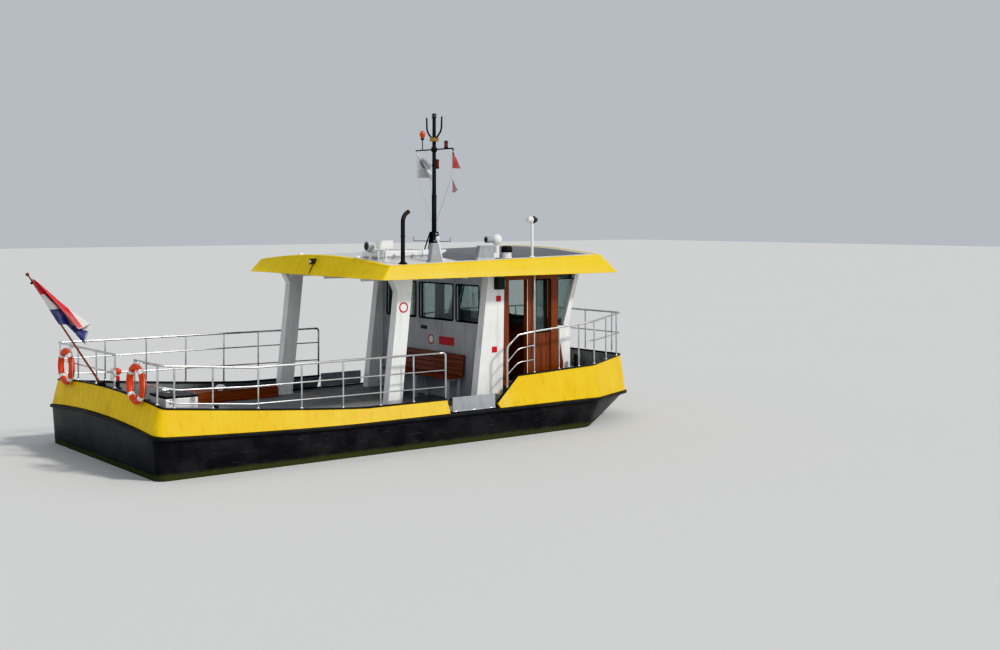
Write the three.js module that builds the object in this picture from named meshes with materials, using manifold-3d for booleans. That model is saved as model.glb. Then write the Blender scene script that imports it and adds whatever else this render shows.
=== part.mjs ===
import * as THREE from "three";
import { mergeVertices } from "three/addons/utils/BufferGeometryUtils.js";
import Module from "manifold-3d";

// A small river passenger ferry for people on foot, with an open aft deck under a long roof.
// Millimetres. X runs forward, Y to port, Z up. The origin is on the centreline, amidships,
// at the waterline of the empty boat.

const wasm = await Module();
wasm.setup();

// Clearances
const GAP = 0.3; // between fixed pieces that touch
const SEAM = 2.5; // between fixed pieces that touch along a twisted face
const RUNNING = 6; // between a moving piece and what it passes

// Hull plan: half of a long box with a round quarter, a shoulder and a blunt bow
const STERN_X = -5300;
const BOW_X = 5320;
const HALF_BEAM = 2384;
const QUARTER_RADIUS = 200;
const SHOULDER = { x: 3800, radius: 600 };
const BOW_CORNER = { y: 1584, radius: 300 };
const STERN_SHARES = [0, 0.3, 0.6];
const GATE_AFT_X = 250; // aft edge of the boarding gate
const GATE_FORE_X = 1400; // foot of the sloping end of the forward bulwark
const SLOPE_TOP_X = 1880; // top of that slope
const SIDE_STATIONS = [-4200, -3300, -2400, -1400, GATE_AFT_X, GATE_FORE_X, SLOPE_TOP_X, 2900];

// Levels
const MAIN_DECK_Z = 550;
const FORE_DECK_Z = 900;
const DECK_BASE_Z = 480;
const ROOF_Z = 3000; // underside of the roof
const UNDER_ROOF = ROOF_Z - GAP;
const ON_MAIN_DECK = MAIN_DECK_Z + GAP;
const ON_FORE_DECK = FORE_DECK_Z + GAP;

// Plate and bar sizes
const RIM = 60; // width of the hull's edge at the sheer
const BULWARK_THICKNESS = 40;
const BULWARK_LEAN = 100; // inward over its height
const CAP = { outer: -90, inner: -155, height: 25 };
const STRAKE = { proud: 38, top: -5, bottom: -60 };
const RAIL_INSET = -122;
const RAIL_RADIUS = 20;
const BAR_RADIUS = 13;
const POST_RADIUS = 16;

// Drive
const SHAFT_Z = -470;
const PROPELLER = { x: -4620, radius: 230, hub: 55, blades: 4 };
const RUDDER_X = -4980;

// Wheelhouse
const HOUSE_Y = 1950; // outer face of its sides
const FRAME_DEPTH = 100;
const AFT_WALL_X = 1500;
const WALL = 60;
const GLASS = 6;
const SILL_Z = 1870;
const DOOR_TRAVEL = 570;

// Roof outline: the foot and the head of the flared edge
const ROOF_FOOT = { aft: -1240, fore: 4250, y: 2475 };
const ROOF_HEAD = { aft: -1040, fore: 3880, y: 2385 };
const ROOF_PANEL = { aft: -980, fore: 3820, y: 2325 };
const ROOF_CROWN = 140;

// Mast
const MAST_X = 1560;
const MAST_PIVOT_Z = 3750;
const MAST_TOP_Z = 6150;
const YARD_Z = 5430;
const YARD_HALF = 650;

const clamp = (value) => Math.min(1, Math.max(0, value));
const ease = (value) => clamp(value) ** 2 * (3 - 2 * clamp(value));
const point = (x, y, z) => new THREE.Vector3(x, y, z);
const mirrored = ([x, y]) => [x, -y];

// Solids and their joins
function solidOf(geometry) {
  const bare = geometry.clone();
  for (const name of ["normal", "uv"]) bare.deleteAttribute(name);
  const merged = mergeVertices(bare, 1e-3);
  return new wasm.Manifold(
    new wasm.Mesh({
      numProp: 3,
      vertProperties: merged.attributes.position.array,
      triVerts: new Uint32Array(merged.index.array),
    }),
  );
}

function geometryOf(solid) {
  const { vertProperties, triVerts } = solid.getMesh();
  const geometry = new THREE.BufferGeometry();
  geometry.setAttribute("position", new THREE.BufferAttribute(vertProperties, 3));
  geometry.setIndex(new THREE.BufferAttribute(triVerts, 1));
  return geometry;
}

function join(...pieces) {
  return geometryOf(pieces.map(solidOf).reduce((sum, piece) => sum.add(piece)));
}

function cut(piece, ...tools) {
  return geometryOf(tools.map(solidOf).reduce((rest, tool) => rest.subtract(tool), solidOf(piece)));
}

function keep(piece, region) {
  return geometryOf(solidOf(piece).intersect(solidOf(region)));
}

// A skin through rings of equally many points. An open run is capped; a loop closes on itself.
function skin(rings, loop = false) {
  const count = rings[0].length;
  const points = rings.flat();
  const index = [];
  const last = loop ? rings.length : rings.length - 1;
  for (let i = 0; i < last; i++) {
    for (let j = 0; j < count; j++) {
      const next = (j + 1) % count;
      const row = i * count;
      const above = ((i + 1) % rings.length) * count;
      index.push(row + j, row + next, above + next, row + j, above + next, above + j);
    }
  }
  if (!loop) {
    const top = (rings.length - 1) * count;
    for (let j = 1; j < count - 1; j++) {
      index.push(0, j + 1, j, top, top + j, top + j + 1);
    }
  }
  let volume = 0;
  for (let i = 0; i < index.length; i += 3) {
    const [a, b, c] = [0, 1, 2].map((k) => points[index[i + k]]);
    volume += a.dot(b.clone().cross(c));
  }
  if (volume < 0) index.reverse();
  const geometry = new THREE.BufferGeometry();
  geometry.setAttribute(
    "position",
    new THREE.Float32BufferAttribute(points.flatMap((p) => p.toArray()), 3),
  );
  return geometry.setIndex(index);
}

function box(x0, x1, y0, y1, z0, z1) {
  return new THREE.BoxGeometry(x1 - x0, y1 - y0, z1 - z0).translate(
    (x0 + x1) / 2,
    (y0 + y1) / 2,
    (z0 + z1) / 2,
  );
}

// A plate whose outline [x, z] is seen from the side, between y0 and y1
function sidePlate(outline, y0, y1) {
  const shape = new THREE.Shape(outline.map(([x, z]) => new THREE.Vector2(x, z)));
  return new THREE.ExtrudeGeometry(shape, { depth: y1 - y0, bevelEnabled: false, steps: 1 })
    .rotateX(Math.PI / 2)
    .translate(0, y1, 0);
}

function rod(from, to, radius, sides = 8, endRadius = radius) {
  const axis = to.clone().sub(from);
  const turn = new THREE.Quaternion().setFromUnitVectors(
    point(0, 1, 0),
    axis.clone().normalize(),
  );
  return new THREE.CylinderGeometry(endRadius, radius, axis.length(), sides)
    .applyQuaternion(turn)
    .translate(...from.clone().add(to).divideScalar(2).toArray());
}

// A bent tube through points, with mitred corners
function tube(points, radius, sides = 8) {
  const runs = points.slice(1).map((p, i) => p.clone().sub(points[i]).normalize());
  const start = runs[0];
  const up = Math.abs(start.z) > 0.9 ? point(1, 0, 0) : point(0, 0, 1);
  const across = up.clone().cross(start).normalize();
  const over = start.clone().cross(across);
  let spokes = Array.from({ length: sides }, (_, k) => {
    const angle = ((k + 0.5) / sides) * 2 * Math.PI;
    return across
      .clone()
      .multiplyScalar(radius * Math.cos(angle))
      .addScaledVector(over, radius * Math.sin(angle));
  });
  const rings = points.map((p, i) => {
    const into = runs[Math.max(0, i - 1)];
    const out = runs[Math.min(runs.length - 1, i)];
    const mitre = into.clone().add(out).normalize();
    const rim = spokes.map((s) => s.clone().addScaledVector(into, -s.dot(mitre) / into.dot(mitre)));
    spokes = rim.map((s) => s.clone().addScaledVector(out, -s.dot(mitre) / out.dot(mitre)));
    spokes = spokes.map((s) => s.addScaledVector(out, -s.dot(out)));
    return rim.map((s) => s.add(p));
  });
  return skin(rings);
}

function arc(centreX, centreY, radius, fromDegrees, toDegrees, steps) {
  return Array.from({ length: steps + 1 }, (_, i) => {
    const angle = THREE.MathUtils.degToRad(
      THREE.MathUtils.lerp(fromDegrees, toDegrees, i / steps),
    );
    return [centreX + radius * Math.cos(angle), centreY + radius * Math.sin(angle)];
  });
}

// Plan of the port half at an outward offset, from the stern's centre to the bow's centre
const BOW_RISE = HALF_BEAM - BOW_CORNER.y;
const FLANK_DEGREES = THREE.MathUtils.radToDeg(Math.atan2(BOW_RISE, BOW_X - SHOULDER.x));
const TANGENT_DEGREES = 90 - FLANK_DEGREES;

function halfPlan(offset) {
  const halfTurn = THREE.MathUtils.degToRad(FLANK_DEGREES / 2);
  const bowTurn = THREE.MathUtils.degToRad(TANGENT_DEGREES / 2);
  const shoulderX = SHOULDER.x - SHOULDER.radius * Math.tan(halfTurn);
  const bowY = BOW_CORNER.y - BOW_CORNER.radius * Math.tan(bowTurn);
  return [
    ...STERN_SHARES.map((share) => [STERN_X - offset, share * HALF_BEAM]),
    ...arc(
      STERN_X + QUARTER_RADIUS,
      HALF_BEAM - QUARTER_RADIUS,
      QUARTER_RADIUS + offset,
      180,
      90,
      4,
    ),
    ...SIDE_STATIONS.map((x) => [x, HALF_BEAM + offset]),
    ...arc(
      shoulderX,
      HALF_BEAM - SHOULDER.radius,
      SHOULDER.radius + offset,
      90,
      TANGENT_DEGREES,
      2,
    ),
    ...arc(BOW_X - BOW_CORNER.radius, bowY, BOW_CORNER.radius + offset, TANGENT_DEGREES, 0, 3),
    [BOW_X + offset, 0],
  ];
}

function wholePlan(offset) {
  const half = halfPlan(offset);
  return [...half, ...half.slice(1, -1).reverse().map(mirrored)];
}

// The whole plan at an offset, each point at the level that a rule gives its place in plan
function levelLoop(offset, levelAt) {
  const base = wholePlan(0);
  return wholePlan(offset).map(([x, y], i) => point(x, y, levelAt(...base[i])));
}

// From the starboard gate round the stern to the port gate
function aftPlan(offset) {
  const half = halfPlan(offset).filter(([x]) => x <= GATE_AFT_X);
  return [...half.slice(1).reverse().map(mirrored), ...half];
}

// From the port gate round the bow to the starboard gate
function forePlan(offset) {
  const half = halfPlan(offset).filter(([x]) => x >= GATE_FORE_X);
  return [...half, ...half.slice(0, -1).reverse().map(mirrored)];
}

const camber = (x, y) => 110 * (1 - (y / HALF_BEAM) ** 2) * clamp((-5100 - x) / 100);
const sheer = (x, y) =>
  570 + 130 * clamp((-1500 - x) / 3800) ** 1.5 - 50 * clamp((x - 3600) / 1700) + camber(x, y);

function bulwarkTop(x, y) {
  if (x <= GATE_AFT_X) return 800 + 320 * clamp((-1400 - x) / 3900) ** 1.2 + camber(x, y);
  const slope = clamp((x - GATE_FORE_X) / (SLOPE_TOP_X - GATE_FORE_X));
  return 650 + 460 * slope + 0.038 * Math.max(0, x - SLOPE_TOP_X);
}

// Hull, decks and bulwarks
function keelPoint([x, y]) {
  const along = x < 0 ? 0.972 * x : 0.68 * x;
  const run = 470 * ease((-2600 - along) / 2550);
  const entry = 200 * ease((along - 1500) / 2100);
  return point(along, 0.11 * y, -620 + run + entry);
}

function chinePoint([x, y]) {
  const along = x < 2500 ? x : 2500 + 0.86 * (x - 2500);
  const aft = 80 * clamp((-3000 - x) / 2300);
  const fore = 430 * clamp((along - 1500) / 3400) ** 1.7;
  return point(along, y, -200 + aft + fore);
}

const ENGINE_WELL = { x0: -3400, x1: -2350, y: 520, z0: -380 };

function hullForm() {
  const rings = [
    wholePlan(-RIM).map(keelPoint),
    wholePlan(-RIM).map(chinePoint),
    levelLoop(0, sheer),
    levelLoop(-RIM, sheer),
    levelLoop(-RIM, () => DECK_BASE_Z),
  ];
  const skeg = sidePlate(
    [
      [-2200, -560],
      [-2200, -618],
      [-4300, -760],
      [-5040, -760],
      [-5040, -722],
      [-4480, -722],
      [-4480, -150],
      [-3900, -150],
    ],
    -40,
    40,
  );
  const sternTube = rod(point(-4530, 0, SHAFT_Z), point(-4100, 0, SHAFT_Z), 62, 12);
  const { x0, x1, y, z0 } = ENGINE_WELL;
  return cut(join(skin(rings), skeg, sternTube), box(x0, x1, -y, y, z0, DECK_BASE_Z + 100));
}

function strakeForm() {
  const { proud, top, bottom } = STRAKE;
  const corners = [
    [GAP, bottom],
    [proud, bottom],
    [proud, top],
    [GAP, top],
  ];
  return skin(
    corners.map(([offset, rise]) => levelLoop(offset, (x, y) => sheer(x, y) + rise)),
    true,
  );
}

const HATCH = { x0: -3300, x1: -2500, y: 440 };

function bollard(x, y, foot, height) {
  return join(
    rod(point(x, y, foot - 5), point(x, y, foot + height), 48, 12),
    rod(point(x - 95, y, foot + 0.7 * height), point(x + 95, y, foot + 0.7 * height), 16),
  );
}

function mainDeckForm() {
  const loops = [DECK_BASE_Z + GAP, MAIN_DECK_Z].map((z) => levelLoop(-RIM - GAP, () => z));
  const { x0, x1, y } = HATCH;
  const slab = cut(skin(loops), box(x0, x1, -y, y, DECK_BASE_Z - 20, MAIN_DECK_Z + 20));
  const bollards = [-1, 1].map((side) => bollard(-4150, 2060 * side, MAIN_DECK_Z, 520));
  return join(slab, ...bollards);
}

const STEPS = { x0: 1290, going: 280, rise: 117, y0: 1985, y1: 2195 };

function foreDeckForm() {
  const loops = [ON_MAIN_DECK, FORE_DECK_Z].map((z) => levelLoop(-165, () => z));
  const headX = STEPS.x0 + 2 * STEPS.going;
  const platform = keep(skin(loops), box(headX, BOW_X, -HALF_BEAM, HALF_BEAM, 0, FORE_DECK_Z));
  const floor = box(AFT_WALL_X + WALL + GAP, headX + 5, -1780, 1780, ON_MAIN_DECK, FORE_DECK_Z);
  const steps = [-1, 1].flatMap((side) =>
    [1, 2].map((number) => {
      const x0 = STEPS.x0 + (number - 1) * STEPS.going;
      const [y0, y1] = [side * STEPS.y0, side * STEPS.y1].sort((a, b) => a - b);
      return box(x0, headX + 5, y0, y1, ON_MAIN_DECK, MAIN_DECK_Z + number * STEPS.rise);
    }),
  );
  const bollards = [-1, 1].map((side) => bollard(3450, 2130 * side, FORE_DECK_Z, 520));
  return join(platform, floor, ...steps, ...bollards);
}

// An upright plate along a plan, leaning inward from the sheer to the bulwark's top
function bulwarkForm(plan) {
  const feet = [0, -BULWARK_THICKNESS];
  const heads = feet.map((offset) => offset - BULWARK_LEAN).reverse();
  const lines = [...feet, ...heads].map((offset) => plan(offset));
  const rings = plan(0).map(([x, y], i) =>
    lines.map((line, k) => point(...line[i], k < 2 ? sheer(x, y) + SEAM : bulwarkTop(x, y))),
  );
  return skin(rings);
}

function capForm(plan) {
  const lines = [CAP.inner, CAP.outer, CAP.outer, CAP.inner].map((offset) => plan(offset));
  const rings = plan(0).map(([x, y], i) => {
    const z = bulwarkTop(x, y) + SEAM;
    return lines.map((line, k) => point(...line[i], k < 2 ? z : z + CAP.height));
  });
  return skin(rings);
}

// Boarding flaps in the gates, hinged along the deck edge
const FLAP = { x0: 330, x1: 1290, y0: 2320, y1: 2350, z0: 590, z1: 845 };

function flapForm(side) {
  const { x0, x1, y0, y1, z0, z1 } = FLAP;
  const [near, far] = [side * y0, side * y1].sort((a, b) => a - b);
  const hinge = rod(point(x0, side * y1, z0), point(x1, side * y1, z0), 14);
  return join(box(x0, x1, near, far, z0, z1), hinge);
}

// Rails
// The spot on the capping's centreline nearest to a place in plan
function onCap(plan, x, y) {
  const base = plan(0);
  const line = plan(RAIL_INSET).map(([a, b], i) => point(a, b, bulwarkTop(...base[i])));
  const aim = point(x, y, 0);
  const spots = line.slice(1).map((end, i) => {
    const start = line[i];
    const [dx, dy] = [end.x - start.x, end.y - start.y];
    const share = clamp(((x - start.x) * dx + (y - start.y) * dy) / (dx * dx + dy * dy));
    const slope = Math.abs(end.z - start.z) / Math.hypot(dx, dy);
    return start.clone().lerp(end, share).add(point(0, 0, slope * POST_RADIUS));
  });
  const distance = (spot) => spot.clone().setZ(0).distanceTo(aim);
  const nearest = spots.reduce((best, spot) => (distance(spot) < distance(best) ? spot : best));
  return nearest.add(point(0, 0, SEAM + CAP.height + GAP));
}

function railPost(plan, lines, [x, y]) {
  const foot = onCap(plan, x, y);
  return rod(foot, foot.clone().setZ(lineAt(lines.top, foot.x)), POST_RADIUS, 6);
}

const lineAt = (table, x) => {
  const k = Math.max(1, table.findIndex(([at]) => at >= x));
  const [[x0, z0], [x1, z1]] = [table[k - 1], table[k]];
  return z0 + (z1 - z0) * ((x - x0) / (x1 - x0));
};

// Each line lists [x, z] from aft forward. The port side's guard stays level.
const AFT_LINES = {
  "-1": {
    top: [[-5400, 1810], [-4900, 1760], [-3600, 1650], [400, 1650]],
    mid: [[-5400, 1500], [-4900, 1390], [-3600, 1345], [400, 1340]],
    low: [[-5400, 1335], [-4900, 1180], [-3600, 1060], [400, 1040]],
  },
  1: {
    top: [[-5400, 1810], [-4900, 1808], [-3600, 1802], [400, 1790]],
    mid: [[-5400, 1500], [-4900, 1510], [-3600, 1512], [400, 1500]],
    low: [[-5400, 1335], [-4900, 1230], [-3600, 1180], [400, 1140]],
  },
};
const AFT_POSTS = [-4950, -4300, -3500, -2700, -1900, -1150, -460, 230];
const STERN_POSTS = { "-1": [-2150, -1250], 1: [-430, 400, 1250, 2150] };
const STERN_GAP = { from: -1250, to: -430 };

function aftRailForm(hand) {
  const plan = aftPlan(RAIL_INSET);
  const side = plan.at(-1)[1];
  const endX = 230;
  const trimmed = plan.map(([x, y]) => [Math.min(x, endX), y]);
  const run = (line, points) => points.map(([x, y]) => point(x, y, lineAt(AFT_LINES[hand][line], x)));
  const gapEnd = (y) => [STERN_X - RAIL_INSET, y];
  const middle = trimmed.findIndex(([, y]) => y === 0);
  const half =
    hand < 0
      ? [...trimmed.filter(([, y]) => y < STERN_GAP.from - 50), gapEnd(STERN_GAP.from)]
      : [gapEnd(STERN_GAP.to), ...trimmed.slice(middle)];
  const beside = half.filter(([, y]) => Math.abs(y) > side - 1);
  const rails = [
    tube(run("low", beside), BAR_RADIUS, 6),
    tube(run("mid", half), BAR_RADIUS, 6),
    tube(run("top", half), RAIL_RADIUS, 6),
  ];
  const feet = [
    ...AFT_POSTS.map((x) => [x, hand * side]),
    ...STERN_POSTS[hand].map((y) => gapEnd(y)),
  ];
  const posts = feet.map((foot) => railPost(aftPlan, AFT_LINES[hand], foot));
  return join(...rails, ...posts);
}

const FORE_LINES = {
  top: [[1600, 1640], [1900, 1880], [2340, 1930], [3860, 2045], [5400, 2120]],
  mid: [[1600, 1345], [1900, 1620], [2340, 1670], [3860, 1670], [5400, 1700]],
  low: [[1600, 1120], [1900, 1365], [2340, 1400], [3860, 1400], [5400, 1400]],
};
const HANDRAIL = { x0: 1640, x1: 2290 };
const FORE_POSTS = [HANDRAIL.x0, HANDRAIL.x1, 2900, 3400, 3800, 4400, 4950];
const POLE_X = 2290;

function foreRailForm() {
  const plan = forePlan(RAIL_INSET);
  const sideY = HALF_BEAM + RAIL_INSET;
  const stations = [HANDRAIL.x0, 1900, HANDRAIL.x1];
  const raise = (line, [x, y]) => point(x, y, lineAt(FORE_LINES[line], x));
  const beyond = plan.filter(([x]) => x > HANDRAIL.x1);
  const ends = (side) => stations.map((x) => [x, side * sideY]);
  const topRun = [...ends(1), ...beyond, ...ends(-1).reverse()];
  const bowRun = plan.filter(([x]) => x > 3600);
  const rails = [
    tube(topRun.map((p) => raise("top", p)), RAIL_RADIUS, 6),
    tube(bowRun.map((p) => raise("mid", p)), BAR_RADIUS, 6),
    ...[-1, 1].flatMap((side) =>
      ["mid", "low"].map((line) => tube(ends(side).map((p) => raise(line, p)), BAR_RADIUS, 6)),
    ),
  ];
  const frontX = BOW_X + RAIL_INSET;
  const flankSlope = BOW_RISE / (BOW_X - SHOULDER.x);
  const foreY = (x) => sideY - Math.max(0, x - SHOULDER.x) * flankSlope;
  const feet = [
    ...FORE_POSTS.flatMap((x) => [-1, 1].map((side) => [x, side * foreY(x)])),
    ...[-1250, -420, 420, 1250].map((y) => [frontX, y]),
  ];
  const posts = feet.map((foot) => railPost(forePlan, FORE_LINES, foot));
  const poles = [-1, 1].map((side) =>
    rod(point(POLE_X, side * sideY, 1900), point(POLE_X, side * sideY, UNDER_ROOF), 24),
  );
  return join(...rails, ...posts, ...poles);
}

// Roof supports
const AFT_PYLON = [
  [-888, ON_MAIN_DECK],
  [-588, ON_MAIN_DECK],
  [-333, UNDER_ROOF],
  [-785, UNDER_ROOF],
  [-720, 2900],
  [-647, 2760],
];
const MID_PYLON = [
  [1120, ON_MAIN_DECK],
  [AFT_WALL_X + 260, ON_MAIN_DECK],
  [1800, UNDER_ROOF],
  [1420, UNDER_ROOF],
];

function pylonForm(outline, outer, thickness, side) {
  const [y0, y1] = [side * outer, side * (outer - thickness)].sort((a, b) => a - b);
  return sidePlate(outline, y0, y1);
}

// Wheelhouse walls
// Window openings as [y0, y1]
const AFT_WINDOWS = [[-1570, -830], [-730, 430], [550, 1620]];
const FRONT_WINDOWS = [[-1770, -640], [-580, 580], [640, 1770]];

function aftWallForm() {
  const x1 = AFT_WALL_X + WALL;
  const wall = box(AFT_WALL_X, x1, -1789, 1789, ON_MAIN_DECK, UNDER_ROOF);
  const windows = AFT_WINDOWS.map(([y0, y1]) => box(AFT_WALL_X - 20, x1 + 20, y0, y1, 2070, 2780));
  const pylons = [-1, 1].map((side) => pylonForm(MID_PYLON, 1970, 182, side));
  return join(cut(wall, ...windows), ...pylons);
}

const rakedX = (z) => 3390 + 0.2575 * Math.max(0, z - 1990);

function frontWallForm() {
  const thickness = 62;
  const wall = sidePlate(
    [
      [3390, ON_FORE_DECK],
      [3440, ON_FORE_DECK],
      [3440, 1960],
      [rakedX(UNDER_ROOF) + thickness, UNDER_ROOF],
      [rakedX(UNDER_ROOF), UNDER_ROOF],
      [3390, 1990],
    ],
    -HOUSE_Y + FRAME_DEPTH - 12,
    HOUSE_Y - FRAME_DEPTH + 12,
  );
  const windows = FRONT_WINDOWS.map(([y0, y1]) => box(3300, 3900, y0, y1, 2060, 2880));
  const lower = [
    [3250, ON_FORE_DECK],
    [3450, ON_FORE_DECK],
    [3450, 1972],
    [3132, 1972],
    [3270, 1250],
  ];
  const upper = [
    [3270, 1960],
    [3392, 1960],
    [rakedX(UNDER_ROOF) + 40, UNDER_ROOF],
    [rakedX(UNDER_ROOF) - 50, UNDER_ROOF],
  ];
  const wings = [-1, 1].flatMap((side) =>
    [lower, upper].map((outline) => pylonForm(outline, HOUSE_Y, FRAME_DEPTH, side)),
  );
  return join(cut(wall, ...windows), ...wings);
}

function frontGlassForm() {
  const face = (z, back) => [rakedX(z) - back, z];
  const outline = [face(2010, 1 + GLASS), face(2010, 1), face(2930, 1), face(2930, 1 + GLASS)];
  return sidePlate(outline, -1810, 1810);
}

// Door frame with a fixed leaf forward of the doorway
const POSTS = [[1801, 1920], [2360, 2570], [2960, 3130]];

function sideFrameForm(side) {
  const slab = (x0, x1, z0, z1, inset = 0) => {
    const faces = [side * (HOUSE_Y - inset), side * (HOUSE_Y - FRAME_DEPTH + inset)];
    return box(x0, x1, Math.min(...faces), Math.max(...faces), z0, z1);
  };
  const [first, , last] = POSTS;
  const filler = [
    [3100, ON_FORE_DECK],
    [3247, ON_FORE_DECK],
    [3267, 1249],
    [3128, SILL_Z],
    [3100, SILL_Z],
  ];
  return join(
    ...POSTS.map(([x0, x1]) => slab(x0, x1, ON_FORE_DECK, UNDER_ROOF)),
    slab(first[0], last[1], 2890, UNDER_ROOF),
    slab(first[0], last[1], ON_FORE_DECK, 940),
    slab(2565, 2965, 935, SILL_Z, 20),
    pylonForm(filler, HOUSE_Y, FRAME_DEPTH, side),
  );
}

function sideGlassForm(side) {
  const outline = [
    [2480, SILL_Z + 10],
    [3380, SILL_Z + 10],
    [3385, 1990],
    [3638, 2985],
    [2480, 2985],
  ];
  return pylonForm(outline, HOUSE_Y - FRAME_DEPTH - 1, GLASS, side);
}

// Sliding leaf inside the frame; shift moves it forward from closed
const LEAF = { x0: 1890, x1: 2390, outer: 1835, thickness: 45, z0: 910, z1: 2960 };

function doorForm(side, shift) {
  const { x0, x1, outer, thickness, z0, z1 } = LEAF;
  const corners = (a, b, low, high) => [[a, low], [b, low], [b, high], [a, high]];
  const leaf = pylonForm(corners(x0 + shift, x1 + shift, z0, z1), outer, thickness, side);
  const pane = corners(x0 + shift + 70, x1 + shift - 70, SILL_Z, 2860);
  return cut(leaf, pylonForm(pane, outer + 20, thickness + 40, side));
}

function doorGlassForm(side, shift) {
  const { x0, x1, outer, thickness } = LEAF;
  const outline = [
    [x0 + shift + 50, SILL_Z - 20],
    [x1 + shift - 50, SILL_Z - 20],
    [x1 + shift - 50, 2880],
    [x0 + shift + 50, 2880],
  ];
  return pylonForm(outline, outer - thickness - GAP, GLASS, side);
}

// Roof
function roofTop(x, y) {
  const rise = 110 * clamp((x - ROOF_HEAD.aft) / (ROOF_HEAD.fore - ROOF_HEAD.aft));
  return 3240 + rise + ROOF_CROWN * (1 - (y / ROOF_HEAD.y) ** 2);
}

const ACROSS = Array.from({ length: 9 }, (_, i) => i / 4 - 1);

function roofLoop({ aft, fore, y }, height) {
  return [
    ...ACROSS.map((share) => point(aft, share * y, height(aft, share * y))),
    ...[...ACROSS].reverse().map((share) => point(fore, share * y, height(fore, share * y))),
  ];
}

function fasciaForm() {
  const flat = () => ROOF_Z;
  const loops = [
    roofLoop(ROOF_FOOT, flat),
    roofLoop(ROOF_HEAD, roofTop),
    roofLoop(ROOF_PANEL, roofTop),
    roofLoop(ROOF_PANEL, flat),
  ];
  return skin(loops, true);
}

const PANEL_DROP = 8;

function roofPanelForm() {
  const half = ROOF_PANEL.y - GAP;
  const ring = (x) => [
    point(x, half, ROOF_Z),
    ...[...ACROSS].reverse().map((s) => point(x, s * half, roofTop(x, s * half) - PANEL_DROP)),
    point(x, -half, ROOF_Z),
  ];
  return skin([ring(ROOF_PANEL.aft + GAP), ring(ROOF_PANEL.fore - GAP)]);
}

// Lowest level at which a flat foot of this radius clears the crowned roof
const onRoof = (x, y, radius) =>
  roofTop(x + radius, Math.max(0, Math.abs(y) - radius)) - PANEL_DROP + 1;

// Roof fittings
const EXHAUST = { x: -640, y: -2190 };

function exhaustForm() {
  const { x, y } = EXHAUST;
  const foot = onRoof(x, y, 80);
  return join(
    rod(point(x, y, foot), point(x, y, foot + 18), 80, 12),
    tube([[x, foot + 5], [x, 4040], [x + 35, 4125], [x + 125, 4190]].map(([a, z]) => point(a, y, z)), 38, 12),
  );
}

function tabernacleForm() {
  const foot = onRoof(MAST_X, 0, 110);
  const cheeks = [-1, 1].map((side) => {
    const outline = [
      [MAST_X - 100, foot],
      [MAST_X + 100, foot],
      [MAST_X + 55, MAST_PIVOT_Z + 45],
      [MAST_X - 55, MAST_PIVOT_Z + 45],
    ];
    return pylonForm(outline, 72, 16, side);
  });
  const arms = [-1, 1].flatMap((side) => [
    rod(point(MAST_X - 60, side * 60, 3610), point(MAST_X - 60, side * YARD_HALF, 3610), 10, 6),
    rod(point(MAST_X - 60, side * 640, 3605), point(MAST_X - 60, side * 640, 3690), 14, 6),
  ]);
  const pin = rod(point(MAST_X, -86, MAST_PIVOT_Z), point(MAST_X, 86, MAST_PIVOT_Z), 12);
  const base = box(MAST_X - 110, MAST_X + 110, -90, 90, foot, foot + 14);
  return join(base, ...cheeks, pin, ...arms);
}

function mastForm() {
  const at = (y, z, x = MAST_X) => point(x, y, z);
  const pole = rod(at(0, MAST_PIVOT_Z - 60), at(0, 4500), 48, 12);
  const upper = rod(at(0, 4490), at(0, MAST_TOP_Z - 90), 41, 10, 35);
  const lamp = rod(at(0, MAST_TOP_Z - 100), at(0, MAST_TOP_Z), 48, 10);
  const yard = rod(at(-YARD_HALF, YARD_Z), at(YARD_HALF, YARD_Z), 14);
  const fork = [-1, 1].map((side) =>
    tube([at(0, 5630), at(side * 130, 5690), at(side * 250, 5810), at(side * 262, 6080)], 17),
  );
  const lanterns = [
    rod(at(410, YARD_Z), at(410, 5650), 10, 6),
    rod(at(410, 5640), at(410, 5830), 52, 10),
    rod(at(-410, YARD_Z), at(-410, 5590), 42, 10),
    rod(at(0, 5130, MAST_X + 70), at(0, 5290, MAST_X + 70), 45, 10),
    rod(at(0, 5150), at(0, 5150, MAST_X + 70), 12, 6),
  ];
  const bore = rod(at(-90, MAST_PIVOT_Z), at(90, MAST_PIVOT_Z), 13);
  return cut(join(pole, upper, lamp, yard, ...fork, ...lanterns), bore);
}

const AFT_LIGHT = { x: -870, y: -1480, z: 3565 };

function lightStandForm() {
  const { x, y, z } = AFT_LIGHT;
  const foot = (at, across) => onRoof(at, across, 30);
  const legs = [-845, -690].map((at) => {
    return rod(point(at, y - 240, foot(at, y - 240)), point(at, y - 240, 3540), 12, 6);
  });
  return join(
    rod(point(x, y, foot(x, y)), point(x, y, z - 118), 24),
    rod(point(x, y, 3420), point(-845, y - 240, 3420), 16, 6),
    box(-870, -570, y - 290, y - 190, 3525, 3668),
    ...legs,
  );
}

function aftLightForm() {
  const { x, y, z } = AFT_LIGHT;
  return join(
    rod(point(x - 80, y, z), point(x + 65, y, z), 90, 14, 74),
    rod(point(x, y, z - 118 + RUNNING), point(x, y, z - 60), 20),
  );
}

const FORE_LIGHT = { x: 1505, y: -2110, z: 3668 };

function foreLightForm() {
  const { x, y, z } = FORE_LIGHT;
  return join(
    new THREE.SphereGeometry(100, 12, 8).rotateX(Math.PI / 2).translate(x, y, z),
    rod(point(x - 255, y, z), point(x - 40, y, z), 62, 12),
    rod(point(x, y, z - 118 + RUNNING), point(x, y, z - 60), 30),
  );
}

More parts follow.
